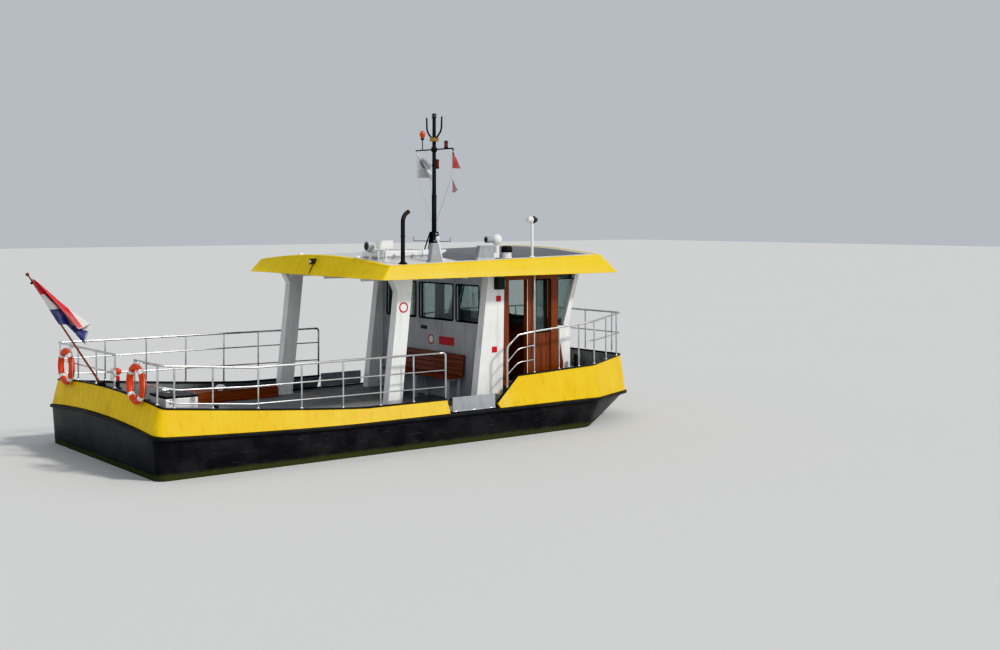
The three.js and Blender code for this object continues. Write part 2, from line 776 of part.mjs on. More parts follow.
// A tapered casing beside the post that carries the forward searchlight
function foreCasingForm() {
  const { x, y, z } = FORE_LIGHT;
  const foot = (at) => [at, onRoof(at, y, 60)];
  const outline = [foot(1020), foot(1400), [1400, 3560], [1085, 3560]];
  const beam = [foot(1395), foot(x), [x, 3420], [1395, 3420]];
  return join(
    sidePlate(outline, y - 60, y + 60),
    sidePlate(beam, y - 40, y + 40),
    rod(point(x, y, onRoof(x, y, 60)), point(x, y, z - 118), 52, 10),
  );
}

function aftCasingForm() {
  const y = -2100;
  const foot = onRoof(90, y, 60);
  return sidePlate([[-25, foot], [205, foot], [165, 3620], [25, 3620]], y - 60, y + 60);
}

function roofLockerForm() {
  const half = 260;
  const [x0, x1, y] = [-780, 370, -1300];
  const foot = (at) => onRoof(at, y, half);
  const outline = [[x0, foot(x0)], [x1, foot(x1)], [x1, 3480], [x0, 3480]];
  return sidePlate(outline, y - half, y + half);
}

function roofVentForm() {
  const [x, y] = [1745, -2110];
  const foot = onRoof(x, y, 88);
  return join(
    rod(point(x, y, foot), point(x, y, 3430), 88, 14),
    rod(point(x, y, 3425), point(x, y, 3550), 104, 14),
  );
}

function lampPoleForm() {
  const [x, y] = [2240, -2255];
  const foot = onRoof(x, y, 40);
  return join(
    rod(point(x, y, foot), point(x, y, foot + 12), 40, 10),
    rod(point(x, y, foot + 5), point(x, y, 4000), 30),
    rod(point(x - 110, y, 4035), point(x + 115, y, 4035), 70, 12),
  );
}

// Deck furniture
function benchForm() {
  const y = 1150;
  const back = sidePlate([[1400, 980], [1440, 980], [1488, 1450], [1452, 1450]], -y, y);
  const seat = box(1060, 1445, -y, y, 985, 1030);
  const legs = [-1080, 0, 1080].map((at) => box(1100, 1420, at - 25, at + 25, ON_MAIN_DECK, 990));
  return join(seat, back, ...legs);
}

function sideLockerForm() {
  const [x, y, top] = [-2170, 1850, 745];
  return join(
    box(-2850, -1040, 1640, 2070, ON_MAIN_DECK, top),
    rod(point(x, y, top - 5), point(x, y, top + 70), 60, 12),
    rod(point(x, y, top + 55), point(x, y, top + 110), 120, 12, 50),
  );
}

const LOCKER = { x0: -4950, x1: -4400, y0: -1940, y1: -1340, top: 1215, wall: 25 };

function deckLockerForm() {
  const { x0, x1, y0, y1, top, wall } = LOCKER;
  const inside = box(x0 + wall, x1 - wall, y0 + wall, y1 - wall, ON_MAIN_DECK + wall, top + 50);
  return cut(box(x0, x1, y0, y1, ON_MAIN_DECK, top), inside);
}

function lockerLidForm() {
  const { x0, x1, y0, y1, top } = LOCKER;
  return box(x0 - 12, x1 + 12, y0 - 12, y1 + 12, top + RUNNING, top + RUNNING + 34);
}

function hatchLidForm() {
  const { x0, x1, y } = HATCH;
  const z0 = MAIN_DECK_Z + RUNNING;
  const grips = [-1, 1].map((side) =>
    rod(point(x0 + 60, side * 180, z0 + 38), point(x0 + 60, side * 300, z0 + 38), 10, 6),
  );
  return join(box(x0 - 40, x1 + 40, -y - 40, y + 40, z0, z0 + 34), ...grips);
}

function engineForm() {
  return box(-3300, -2450, -330, 330, ENGINE_WELL.z0 + GAP, 300);
}

// Stern gear
const BUOY = { x: -5278, ring: 270, tube: 54 };

function buoyForm(y, z) {
  return new THREE.TorusGeometry(BUOY.ring, BUOY.tube, 8, 24).rotateY(Math.PI / 2).translate(BUOY.x, y, z);
}

const STAFF_FOOT = point(-5262, 0, 1262);
const STAFF_TIP = point(-6460, 0, 3140);

function staffForm() {
  const foot = bulwarkTop(STERN_X, 0) + SEAM + CAP.height + GAP;
  return join(
    rod(STAFF_FOOT.clone().setZ(foot + 35), STAFF_TIP, 18, 8, 12),
    rod(STAFF_TIP.clone().add(point(-8, 0, -6)), STAFF_TIP.clone().add(point(-24, 0, 34)), 30, 10),
    box(-5300, -5180, -45, 45, foot, foot + 60),
  );
}

// A hanging flag as a thin slab. corners lists [along the fly, down] from a hoist line.
function flagForm(corners, thickness, fly) {
  const normal = fly.clone().cross(point(0, 0, 1)).normalize().multiplyScalar(thickness / 2);
  return skin([-1, 1].map((side) => corners.map((p) => p.clone().addScaledVector(normal, side))));
}

function ensignForm() {
  const fly = point(0.62, -0.78, 0);
  const staffAt = (share) => STAFF_TIP.clone().lerp(STAFF_FOOT, share);
  const clear = fly.clone().multiplyScalar(45);
  const [top, low] = [staffAt(0.03).add(clear), staffAt(0.46).add(clear)];
  const out = (from, reach, drop) =>
    from.clone().addScaledVector(fly, reach).add(point(0, 0, -drop));
  return flagForm([top, out(top, 430, 360), out(low, 520, 520), low], 60, fly);
}

// Helm
function consoleForm() {
  const outline = [
    [2960, ON_FORE_DECK],
    [3375, ON_FORE_DECK],
    [3375, 1880],
    [3240, 1880],
    [2960, 1690],
  ];
  const wheel = new THREE.TorusGeometry(190, 14, 6, 20)
    .rotateY(-Math.PI / 2)
    .rotateY(0.5)
    .translate(2900, 0, 1640);
  const hub = rod(point(2890, 0, 1640), point(3000, 0, 1600), 26);
  const spokes = [0, 1, 2].map((k) => {
    const angle = (k / 3) * 2 * Math.PI + Math.PI / 2;
    const rim = point(0, 190 * Math.cos(angle), 190 * Math.sin(angle)).applyAxisAngle(point(0, 1, 0), 0.5);
    return rod(point(2900, 0, 1640), rim.add(point(2900, 0, 1640)), 10, 6);
  });
  const screen = box(3120, 3200, -420, -40, 1780, 2120);
  return join(sidePlate(outline, -650, 650), wheel, hub, ...spokes, screen);
}

function seatForm() {
  const x = 2330;
  const outline = [
    [2110, 1460],
    [2560, 1460],
    [2570, 1570],
    [2230, 1560],
    [2160, 2240],
    [2070, 2240],
  ];
  return join(
    rod(point(x, 0, ON_FORE_DECK), point(x, 0, ON_FORE_DECK + 20), 190, 16),
    rod(point(x, 0, ON_FORE_DECK + 10), point(x, 0, 1470), 45, 12),
    sidePlate(outline, -230, 230),
  );
}

// Drive and steering
function propellerForm() {
  const { x, radius, hub, blades } = PROPELLER;
  const shaft = rod(point(x - 60, 0, 0), point(-4530 - RUNNING, 0, 0), 24, 12);
  const boss = rod(point(x - 75, 0, 0), point(x + 65, 0, 0), hub, 12, hub - 10);
  const rings = [0.15, 0.45, 0.75, 1].map((share, i) => {
    const pitch = THREE.MathUtils.degToRad(62 - 38 * share);
    const half = [60, 88, 82, 34][i];
    const thickness = [11, 9, 6, 3][i];
    return [[-half, 0], [0, -thickness], [half, 0], [0, thickness]].map(([along, over]) =>
      point(
        x + along * Math.sin(pitch) + over * Math.cos(pitch),
        along * Math.cos(pitch) - over * Math.sin(pitch),
        share * radius,
      ),
    );
  });
  const blade = skin(rings);
  const fan = Array.from({ length: blades }, (_, k) =>
    blade.clone().rotateX((k / blades) * 2 * Math.PI),
  );
  return join(shaft, boss, ...fan).translate(0, 0, SHAFT_Z);
}

function rudderForm() {
  const section = [[-5170, 0], [-5060, 22], [-4930, 26], [-4850, 14], [-4830, 0]];
  const loop = [...section, ...section.slice(1, -1).reverse().map(mirrored)];
  const blade = skin([-240, -705].map((z) => loop.map(([x, y]) => point(x, y, z))));
  return join(blade, rod(point(RUDDER_X, 0, -400), point(RUDDER_X, 0, -200), 24, 12));
}

// Finishes: colour, roughness, metalness
const FINISHES = {
  black: [0x17161a, 0.55, 0],
  yellow: [0xe8c42c, 0.45, 0],
  deck: [0x77797a, 0.85, 0],
  white: [0xe9e9e6, 0.4, 0],
  steel: [0xc3c6c8, 0.35, 0.8],
  mahogany: [0x6f2c14, 0.4, 0],
  glass: [0x6f8a8c, 0.1, 0],
  grey: [0x9a9da0, 0.5, 0],
  orange: [0xd8481e, 0.5, 0],
  red: [0xb32430, 0.8, 0],
  bronze: [0xa9783a, 0.35, 0.9],
  seat: [0x222226, 0.7, 0],
};

const ferry = new THREE.Group();

function add(name, geometry, finish) {
  const [color, roughness, metalness] = FINISHES[finish];
  geometry.computeVertexNormals();
  const mesh = new THREE.Mesh(geometry, new THREE.MeshStandardMaterial({ color, roughness, metalness }));
  mesh.name = name;
  ferry.add(mesh);
}

add("hull", hullForm(), "black");
add("rubbing_strake", strakeForm(), "black");
add("main_deck", mainDeckForm(), "deck");
add("fore_deck", foreDeckForm(), "deck");
add("bulwark_aft", bulwarkForm(aftPlan), "yellow");
add("bulwark_fore", bulwarkForm(forePlan), "yellow");
add("cap_rail_aft", capForm(aftPlan), "black");
add("cap_rail_fore", capForm(forePlan), "black");
add("rail_aft_starboard", aftRailForm(-1), "steel");
add("rail_aft_port", aftRailForm(1), "steel");
add("rail_fore", foreRailForm(), "steel");
add("house_wall_aft", aftWallForm(), "white");
add("aft_glass", box(1560.5, 1560.5 + GLASS, -1700, 1700, 2030, 2820), "glass");
add("house_wall_front", frontWallForm(), "white");
add("front_glass", frontGlassForm(), "glass");
add("roof_fascia", fasciaForm(), "yellow");
add("roof_panel", roofPanelForm(), "white");

for (const [name, side, shift] of [["starboard", -1, DOOR_TRAVEL], ["port", 1, 0]]) {
  add(`pylon_aft_${name}`, pylonForm(AFT_PYLON, 2052, 180, side), "white");
  add(`side_frame_${name}`, sideFrameForm(side), "mahogany");
  add(`side_glass_${name}`, sideGlassForm(side), "glass");
  add(`door_${name}`, doorForm(side, shift), "mahogany");
  add(`door_glass_${name}`, doorGlassForm(side, shift), "glass");
  add(`boarding_flap_${name}`, flapForm(side), "grey");
  add(`lifebuoy_${name}`, buoyForm(side * 1560, 1445), "orange");
}

add("exhaust_pipe", exhaustForm(), "black");
add("tabernacle", tabernacleForm(), "grey");
add("mast", mastForm(), "black");
add("searchlight_stand", lightStandForm(), "white");
add("searchlight_aft", aftLightForm(), "grey");
add("searchlight_fore", foreLightForm(), "white");
add("casing_fore", foreCasingForm(), "grey");
add("casing_aft", aftCasingForm(), "grey");
add("roof_locker", roofLockerForm(), "white");
add("roof_vent", roofVentForm(), "white");
add("lamp_pole", lampPoleForm(), "white");
add("bench", benchForm(), "mahogany");
add("side_locker", sideLockerForm(), "mahogany");
add("deck_locker", deckLockerForm(), "white");
add("locker_lid", lockerLidForm(), "black");
add("engine_hatch", hatchLidForm(), "deck");
add("engine", engineForm(), "grey");
add("ensign_staff", staffForm(), "mahogany");
add("ensign", ensignForm(), "red");
add("helm_console", consoleForm(), "mahogany");
add("helm_seat", seatForm(), "seat");
add("propeller", propellerForm(), "bronze");
add("rudder", rudderForm(), "black");

export default ferry;
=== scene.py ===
"""Dress of a small river passenger ferry: fine surfaces, fittings, cloth and finishes round its CAD frame.

Lengths are metres. X runs to the bow, Y to port, Z up, and the water lies at z = 0.
"""

import logging
import math
from collections.abc import Callable, Sequence
from dataclasses import dataclass, field
from enum import Enum
from functools import cached_property, lru_cache

import bmesh
import bpy
import numpy as np
from bpy.types import ColorRamp, Material, Mesh, Node, NodeSocket, Object
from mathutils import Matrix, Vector


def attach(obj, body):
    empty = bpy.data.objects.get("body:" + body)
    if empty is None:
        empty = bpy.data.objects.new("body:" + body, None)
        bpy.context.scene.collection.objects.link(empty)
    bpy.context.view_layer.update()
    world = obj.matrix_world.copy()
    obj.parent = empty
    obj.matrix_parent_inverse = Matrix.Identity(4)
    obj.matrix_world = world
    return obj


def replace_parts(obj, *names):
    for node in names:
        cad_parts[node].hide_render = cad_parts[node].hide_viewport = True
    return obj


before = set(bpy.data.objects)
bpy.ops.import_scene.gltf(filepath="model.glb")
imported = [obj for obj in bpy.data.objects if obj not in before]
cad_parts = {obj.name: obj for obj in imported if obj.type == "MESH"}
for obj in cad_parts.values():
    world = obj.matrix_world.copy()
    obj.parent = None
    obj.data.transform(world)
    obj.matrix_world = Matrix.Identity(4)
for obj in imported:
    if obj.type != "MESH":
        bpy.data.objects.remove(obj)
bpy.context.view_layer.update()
LOG = logging.getLogger("ferry")

Array = np.ndarray
Colour = tuple[float, float, float]
Point = Sequence[float]
Rule = Callable[[Array, Array], Array]
SIDES = (("starboard", -1.0), ("port", 1.0))


# Shapes


@dataclass
class Form:
    """Vertices and faces of one mesh, with the number of a finish for each block of faces."""

    verts: Array
    faces: list[Array]
    coats: list[int] = field(default_factory=list)

    def __post_init__(self) -> None:
        """Gives every block the first finish where none is stated."""
        self.coats = self.coats or [0] * len(self.faces)

    def __add__(self, other: "Form") -> "Form":
        """Both forms as one mesh."""
        shift = len(self.verts)
        return Form(
            np.vstack([self.verts, other.verts]),
            self.faces + [block + shift for block in other.faces],
            self.coats + other.coats,
        )

    def coated(self, number: int) -> "Form":
        """The same form in another finish."""
        return Form(self.verts, self.faces, [number] * len(self.faces))

    def moved(self, x: float = 0, y: float = 0, z: float = 0) -> "Form":
        """The form shifted."""
        return Form(self.verts + np.array([x, y, z], float), self.faces, self.coats)

    def turned(self, axis: int, degrees: float, about: Point = (0, 0, 0)) -> "Form":
        """The form turned by the right-hand rule about a line along X, Y or Z."""
        angle = math.radians(degrees)
        i, j = [(1, 2), (2, 0), (0, 1)][axis]
        spot = self.verts - np.array(about, float)
        out = spot.copy()
        out[:, i] = spot[:, i] * math.cos(angle) - spot[:, j] * math.sin(angle)
        out[:, j] = spot[:, i] * math.sin(angle) + spot[:, j] * math.cos(angle)
        return Form(out + np.array(about, float), self.faces, self.coats)

    def mirrored(self) -> "Form":
        """The form on the other side of the centreline, faces still outward."""
        flipped = [block[:, ::-1] for block in self.faces]
        return Form(self.verts * np.array([1.0, -1.0, 1.0]), flipped, self.coats)

    def both(self) -> "Form":
        """The form and its mirror image."""
        return self + self.mirrored()


def joined(forms: Sequence[Form]) -> Form:
    """All the forms as one mesh."""
    total = forms[0]
    for form in forms[1:]:
        total = total + form
    return total


def grid(points: Array, loop_u: bool = False, loop_v: bool = False) -> Form:
    """Quads over rows and columns of points: row u and column v share corners with the next ones.

    Args:
        points: rows by columns by 3.
        loop_u: whether the last row joins the first.
        loop_v: whether the last column joins the first.
    """
    rows, cols = points.shape[:2]
    index = np.arange(rows * cols).reshape(rows, cols)
    index = np.vstack([index, index[:1]]) if loop_u else index
    index = np.hstack([index, index[:, :1]]) if loop_v else index
    quads = np.stack([index[:-1, :-1], index[1:, :-1], index[1:, 1:], index[:-1, 1:]], -1)
    return Form(points.reshape(-1, 3).astype(float), [quads.reshape(-1, 4)])


def skin(rings: Array) -> Form:
    """A closed body through rings of points: grid over the rings, and a flat face on each end."""
    rows, cols = rings.shape[:2]
    form = grid(rings, loop_v=True)
    ends = [np.arange(cols)[None], np.arange((rows - 1) * cols, rows * cols)[None, ::-1]]
    return Form(form.verts, form.faces + ends)


def unit(vectors: Array) -> Array:
    """Vectors cut to length one along the last axis."""
    return vectors / np.linalg.norm(vectors, axis=-1, keepdims=True)


def frames(path: Array, loop: bool) -> tuple[Array, Array]:
    """Two directions across a path: side = reference x tangent, over = tangent x side."""
    if loop:
        tangent = np.roll(path, -1, 0) - np.roll(path, 1, 0)
    else:
        tangent = np.gradient(path, axis=0)
    tangent = unit(tangent)
    reference = np.eye(3)[np.argmin(np.abs(tangent).max(axis=0))]
    side = unit(np.cross(reference, tangent))
    return side, np.cross(tangent, side)


def hoops(path: Array, section: Array, share: Array | float = 1.0, loop: bool = False) -> Array:
    """Rings along a path: point = path + share * (a * side + b * over), (a, b) on the section."""
    side, over = frames(path, loop)
    size = np.broadcast_to(share, len(path))[:, None, None]
    spread = section[None, :, :1] * side[:, None] + section[None, :, 1:] * over[:, None]
    return path[:, None] + size * spread


def circle(radius: float, sides: int) -> Array:
    """Points of a circle as rows of (a, b)."""
    turn = np.arange(sides) * (2 * math.pi / sides)
    return radius * np.stack([np.cos(turn), np.sin(turn)], -1)


def tube(path: Sequence[Point], radius: float, sides: int = 12, loop: bool = False) -> Form:
    """A round bar along a path, with rounded ends where it is open: radius * sin at the ends."""
    line = np.asarray(path, float)
    if loop:
        return grid(hoops(line, circle(radius, sides), 1.0, True), True, True)
    lead = unit(line[[1, -1]] - line[[0, -2]])
    sinks = radius * np.array([0.02, 0.3, 0.7])
    share = np.concatenate([[0.25, 0.72, 0.95], np.ones(len(line) - 2), [0.95, 0.72, 0.25]])
    start = line[0] + sinks[:, None] * lead[0]
    end = line[-1] - sinks[::-1, None] * lead[1]
    return skin(hoops(np.vstack([start, line[1:-1], end]), circle(radius, sides), share))


def rounded(points: Sequence[Point], radius: float, loop: bool = False, steps: int = 5) -> Array:
    """A path with its corners rounded by parabolas: (1-t)^2 A + 2t(1-t) P + t^2 B."""
    line = np.asarray(points, float)
    count = len(line)
    parts = [] if loop else [line[:1]]
    blend = np.linspace(0, 1, steps + 1)[:, None]
    for i in range(count) if loop else range(1, count - 1):
        before, corner, after = line[i - 1], line[i], line[(i + 1) % count]
        reach = min(radius, *(0.45 * np.linalg.norm(end - corner) for end in (before, after)))
        a = corner + reach * unit(before - corner)
        b = corner + reach * unit(after - corner)
        parts.append((1 - blend) ** 2 * a + 2 * blend * (1 - blend) * corner + blend**2 * b)
    return np.vstack(parts if loop else parts + [line[-1:]])


def bent(points: Sequence[Point], bend: float, radius: float, sides: int = 12, loop: bool = False) -> Form:
    """A round bar through points, its corners rounded to a bend."""
    return tube(rounded(points, bend, loop), radius, sides, loop)


def spun(profile: Sequence[Point], foot: Point, sides: int = 28, axis: int = 2) -> Array:
    """Rings of a (radius, height) profile turned about an axis: foot + height * axis + radius * ring."""
    shape = np.maximum(np.asarray(profile, float), [1e-4, -1e9])
    ring = circle(1.0, sides)
    rings = np.zeros((len(shape), sides, 3))
    rings[..., axis] = shape[:, 1:]
    for k, across in enumerate([(1, 2), (2, 0), (0, 1)][axis]):
        rings[..., across] = shape[:, :1] * ring[None, :, k]
    return rings + np.asarray(foot, float)


def lathe(profile: Sequence[Point], foot: Point, sides: int = 28, axis: int = 2) -> Form:
    """A turned body. Where the profile ends off the axis, a level face closes it."""
    rows = [tuple(row) for row in profile]
    first, last = ([(0, row[1])] if row[0] > 1e-6 else [] for row in (rows[0], rows[-1]))
    return skin(spun(first + rows + last, foot, sides, axis))


def bulb(radius: float, height: float, count: int) -> Array:
    """Half an ellipse as a profile: (radius * cos t, height * sin t)."""
    turn = np.linspace(-math.pi / 2, math.pi / 2, count)
    return np.stack([radius * np.cos(turn), height * np.sin(turn)], -1)


def slab(outline: Sequence[Point], low: float, high: float, axis: int = 1) -> Form:
    """A plate: an outline in the plane across an axis, carried from low to high along it."""
    flat = np.asarray(outline, float)
    rings = np.zeros((2, len(flat), 3))
    first, second = [(1, 2), (0, 2), (0, 1)][axis]
    rings[..., first], rings[..., second] = flat[None, :, 0], flat[None, :, 1]
    rings[..., axis] = np.array([[low], [high]])
    return skin(rings)


def block(x0: float, x1: float, y0: float, y1: float, z0: float, z1: float) -> Form:
    """A brick between two corners, y0 and y1 in either order."""
    y0, y1 = sorted((y0, y1))
    return slab([(x0, y0), (x1, y0), (x1, y1), (x0, y1)], z0, z1, 2)


def ring_path(u0: float, u1: float, v0: float, v1: float, radius: float) -> Array:
    """A rectangle with round corners as rows of (u, v, 0)."""
    corners = [(u0, v0, 0), (u1, v0, 0), (u1, v1, 0), (u0, v1, 0)]
    return rounded(corners, radius, True)


def bead(place: Rule, window: Sequence[float], size: float) -> Form:
    """A round bead about a window of (u0, u1, v0, v1), where place sets (u, v) in space."""
    path = ring_path(*window, 0.05)
    return tube(place(path[:, 0], path[:, 1]), size, 8, True)


def plane(axis: int, level: float) -> Rule:
    """Places (u, v) on a plane across an axis, at a level along it."""
    return lambda u, v: np.insert(np.stack([u, v], -1), axis, level, -1)


# Shader arithmetic


def operator(name: str, swapped: bool = False) -> Callable[["Signal", "Signal | float"], "Signal"]:
    """A method that adds one Math node for an operator, its terms swapped in a reflected form."""
    def method(self: "Signal", other: "Signal | float") -> "Signal":
        """The node's output."""
        return self.graph.math(name, *((other, self) if swapped else (self, other)))

    return method


class Signal:
    """A shader socket that takes part in sums. Each operator adds one Math node."""

    def __init__(self, graph: "Graph", socket: NodeSocket) -> None:
        """Keeps the socket and the graph it belongs to."""
        self.graph = graph
        self.socket = socket

    __add__ = __radd__ = operator("ADD")
    __sub__ = operator("SUBTRACT")
    __rsub__ = operator("SUBTRACT", True)
    __mul__ = __rmul__ = operator("MULTIPLY")

    def above(self, level: float, width: float) -> "Signal":
        """Zero below a level and one above it, eased over a width."""
        return self.graph.value(
            "ShaderNodeMapRange",
            {"interpolation_type": "SMOOTHSTEP"},
            {"Value": self, "From Min": level - width / 2, "From Max": level + width / 2},
        )

    def each(self, spacing: float, width: float, offset: float = 0.0) -> "Signal":
        """One on thin lines that repeat: 1 where |position - nearest multiple| < width / 2."""
        share = self.graph.math("PINGPONG", self - (offset + spacing / 2), spacing / 2)
        return share.above(spacing / 2 - width / 2, width * 0.4)


class Graph:
    """The node tree of one material, in the part's own coordinates."""

    def __init__(self, name: str) -> None:
        """Starts a material with a Principled shader."""
        self.material = bpy.data.materials.new(name)
        self.material.use_nodes = True
        self.tree = self.material.node_tree
        self.shader = next(n for n in self.tree.nodes if n.type == "BSDF_PRINCIPLED")

    def node(self, kind: str, settings: dict | None = None, sockets: dict | None = None) -> Node:
        """A node of any kind.

        Args:
            kind: Blender's type name.
            settings: attributes set first; stops gives a ramp's (place, colour) pairs.
            sockets: number, colour or Signal for each input, by name or index.

        Returns:
            The node.
        """
        node = self.tree.nodes.new(kind)
        for key, value in (settings or {}).items():
            if key == "stops":
                self._stops(node.color_ramp, value)
            else:
                setattr(node, key, value)
        for key, value in (sockets or {}).items():
            self.feed(node.inputs[key], value)
        return node

    @staticmethod
    def _stops(ramp: ColorRamp, stops: Sequence[tuple[float, Colour]]) -> None:
        """Sets a ramp's stops."""
        while len(ramp.elements) < len(stops):
            ramp.elements.new(1.0)
        for element, (place, colour) in zip(ramp.elements, stops):
            element.position = place
            element.color = (*colour, 1.0)

    def feed(self, target: NodeSocket, value: object) -> None:
        """Links a Signal to an input, or sets its number or colour."""
        if isinstance(value, Signal):
            self.tree.links.new(value.socket, target)
        elif isinstance(value, tuple) and len(value) == 3 and target.type == "RGBA":
            target.default_value = (*value, 1.0)
        else:
            target.default_value = value

    def value(self, kind: str, settings: dict | None, sockets: dict, out: int | str = 0) -> Signal:
        """The output of a new node."""
        return Signal(self, self.node(kind, settings, sockets).outputs[out])

    def math(self, operation: str, *terms: "Signal | float") -> Signal:
        """A Math node on up to three terms."""
        return self.value("ShaderNodeMath", {"operation": operation}, dict(enumerate(terms)))

    @cached_property
    def place(self) -> Signal:
        """Object coordinates."""
        return self.value("ShaderNodeTexCoord", None, {}, "Object")

    @cached_property
    def sheet(self) -> Signal:
        """The piece's own UV map."""
        return self.value("ShaderNodeTexCoord", None, {}, "UV")

    @lru_cache(maxsize=None)
    def axis(self, name: str) -> Signal:
        """One of X, Y and Z in object coordinates."""
        return self.value("ShaderNodeSeparateXYZ", None, {0: self.place}, name)

    def noise(self, scale: float, detail: float = 3, stretch: Point = (1, 1, 1),
              rough: float = 0.55) -> Signal:
        """Noise from 0 to 1 over object coordinates, drawn out by a stretch of each axis."""
        where = self.place
        if tuple(stretch) != (1, 1, 1):
            where = self.value("ShaderNodeMapping", None, {"Vector": where, "Scale": tuple(stretch)})
        sockets = {"Vector": where, "Scale": scale, "Detail": detail, "Roughness": rough}
        return self.value("ShaderNodeTexNoise", None, sockets)

    def mix(self, share: "Signal | float", first: "Signal | Colour", second: "Signal | Colour") -> Signal:
        """A blend of two colours."""
        node = self.node("ShaderNodeMix", {"data_type": "RGBA"}, {0: share})
        self.feed(node.inputs[6], first)
        self.feed(node.inputs[7], second)
        return Signal(self, node.outputs[2])

    def ramp(self, share: Signal, stops: Sequence[tuple[float, Colour]], steps: bool = False) -> Signal:
        """A colour looked up along a ramp."""
        node = self.node("ShaderNodeValToRGB", {"stops": stops}, {0: share})
        node.color_ramp.interpolation = "CONSTANT" if steps else "LINEAR"
        return Signal(self, node.outputs[0])

    def bump(self, height: Signal, depth: float, strength: float = 1.0) -> None:
        """Feeds the shader's normal from a height of 0 to 1 times a depth in metres."""
        sockets = {"Height": height, "Distance": depth, "Strength": strength}
        self.feed(self.shader.inputs["Normal"], self.value("ShaderNodeBump", None, sockets, "Normal"))

    def done(self, **sockets: object) -> Material:
        """Sets the shader's inputs, underscores for spaces, and gives the material."""
        for key, value in sockets.items():
            self.feed(self.shader.inputs[key.replace("_", " ").title().replace("Ior", "IOR")], value)
        return self.material


# Finishes


class Finish:
    """A surface's look. Each kind builds its material once."""

    name: str

    def paint(self, graph: Graph) -> Material:
        """Fills the graph."""
        raise NotImplementedError

    @lru_cache(maxsize=None)
    def material(self) -> Material:
        """The Blender material of this finish."""
        return self.paint(Graph(self.name))


@dataclass(frozen=True)
class Paint(Finish):
    """Brushed or sprayed paint with faint unevenness, grime that runs down, and weld seams."""

    name: str
    colour: Colour
    faded: Colour
    rough: float = 0.35
    coat: float = 0.3
    metal: float = 0.0
    grime: float = 0.25
    soil: Colour = (0.05, 0.045, 0.035)
    seam: float = 0.0
    grain: float = 0.0004
    gloss: float = 0.5

    def paint(self, graph: Graph) -> Material:
        """Colour drifts to faded in clouds, and soil gathers in upright streaks."""
        cloud = graph.noise(1.7, 4).above(0.52, 0.35)
        colour = graph.mix(cloud, self.colour, self.faded)
        streak = graph.noise(2.4, 5, (5, 5, 0.55)).above(0.6, 0.22)
        speck = graph.noise(38).above(0.56, 0.3)
        dirt = (streak * 0.65 + speck * 0.2) * self.grime
        height = graph.noise(55, 2)
        if self.seam:
            line = graph.axis("X").each(self.seam, 0.012, 0.35)
            height = height * 0.12 + line
            dirt = dirt + line * 0.22
        colour = graph.mix(dirt, colour, self.soil)
        graph.bump(height, 0.002 if self.seam else self.grain, 0.5)
        rough = graph.noise(4) * 0.16 + (self.rough - 0.08) + dirt * 0.3
        return graph.done(
            base_color=colour, roughness=rough, metallic=self.metal, coat_weight=self.coat,
            coat_roughness=0.12,
            specular_ior_level=self.gloss,
        )


@dataclass(frozen=True)
class Topsides(Finish):
    """Black hull paint: slime at the water, anti-fouling under it, rubbing marks and dents."""

    name: str = "hull paint"
    black: Colour = (0.011, 0.011, 0.013)
    worn: Colour = (0.028, 0.027, 0.029)
    slime: Colour = (0.045, 0.05, 0.025)
    fouling: Colour = (0.13, 0.03, 0.02)

    def paint(self, graph: Graph) -> Material:
        """Bands by height above water, edged by noise, and frames that show as faint hollows."""
        height, along = graph.axis("Z"), graph.axis("X")
        ragged = graph.noise(6, 4) * 0.09
        colour = graph.mix(graph.noise(2.2, 5).above(0.5, 0.3), self.black, self.worn)
        scuffs = graph.noise(9, 4, (0.3, 1, 6)).above(0.67, 0.05) * 0.5
        colour = graph.mix(scuffs, colour, (0.12, 0.12, 0.125))
        colour = graph.mix((height + ragged).above(0.14, 0.08), self.slime, colour)
        colour = graph.mix(height.above(0.0, 0.012), self.fouling, colour)
        hollow = graph.math("SINE", along * (2 * math.pi / 0.55)) * 0.5 + graph.noise(3, 2)
        graph.bump(hollow, 0.004, 0.35)
        rough = 0.62 - height.above(0.12, 0.1) * 0.24 + scuffs * 0.2
        return graph.done(base_color=colour, roughness=rough, specular_ior_level=0.25)


@dataclass(frozen=True)
class Deck(Finish):
    """Grey deck paint with grit rolled in, paler where feet have worn it."""

    name: str
    colour: Colour
    worn: Colour

    def paint(self, graph: Graph) -> Material:
        """Grit is fine noise as bump; wear is broad noise."""
        wear = graph.noise(1.3, 5).above(0.5, 0.4)
        grit = graph.noise(420, 2)
        colour = graph.mix(wear * 0.7 + grit * 0.25, self.colour, self.worn)
        damp = graph.noise(0.9, 4).above(0.6, 0.1)
        colour = graph.mix(damp * 0.3, colour, (0.03, 0.032, 0.035))
        graph.bump(grit, 0.0016, 0.8)
        return graph.done(base_color=colour, roughness=0.86 - damp * 0.25)


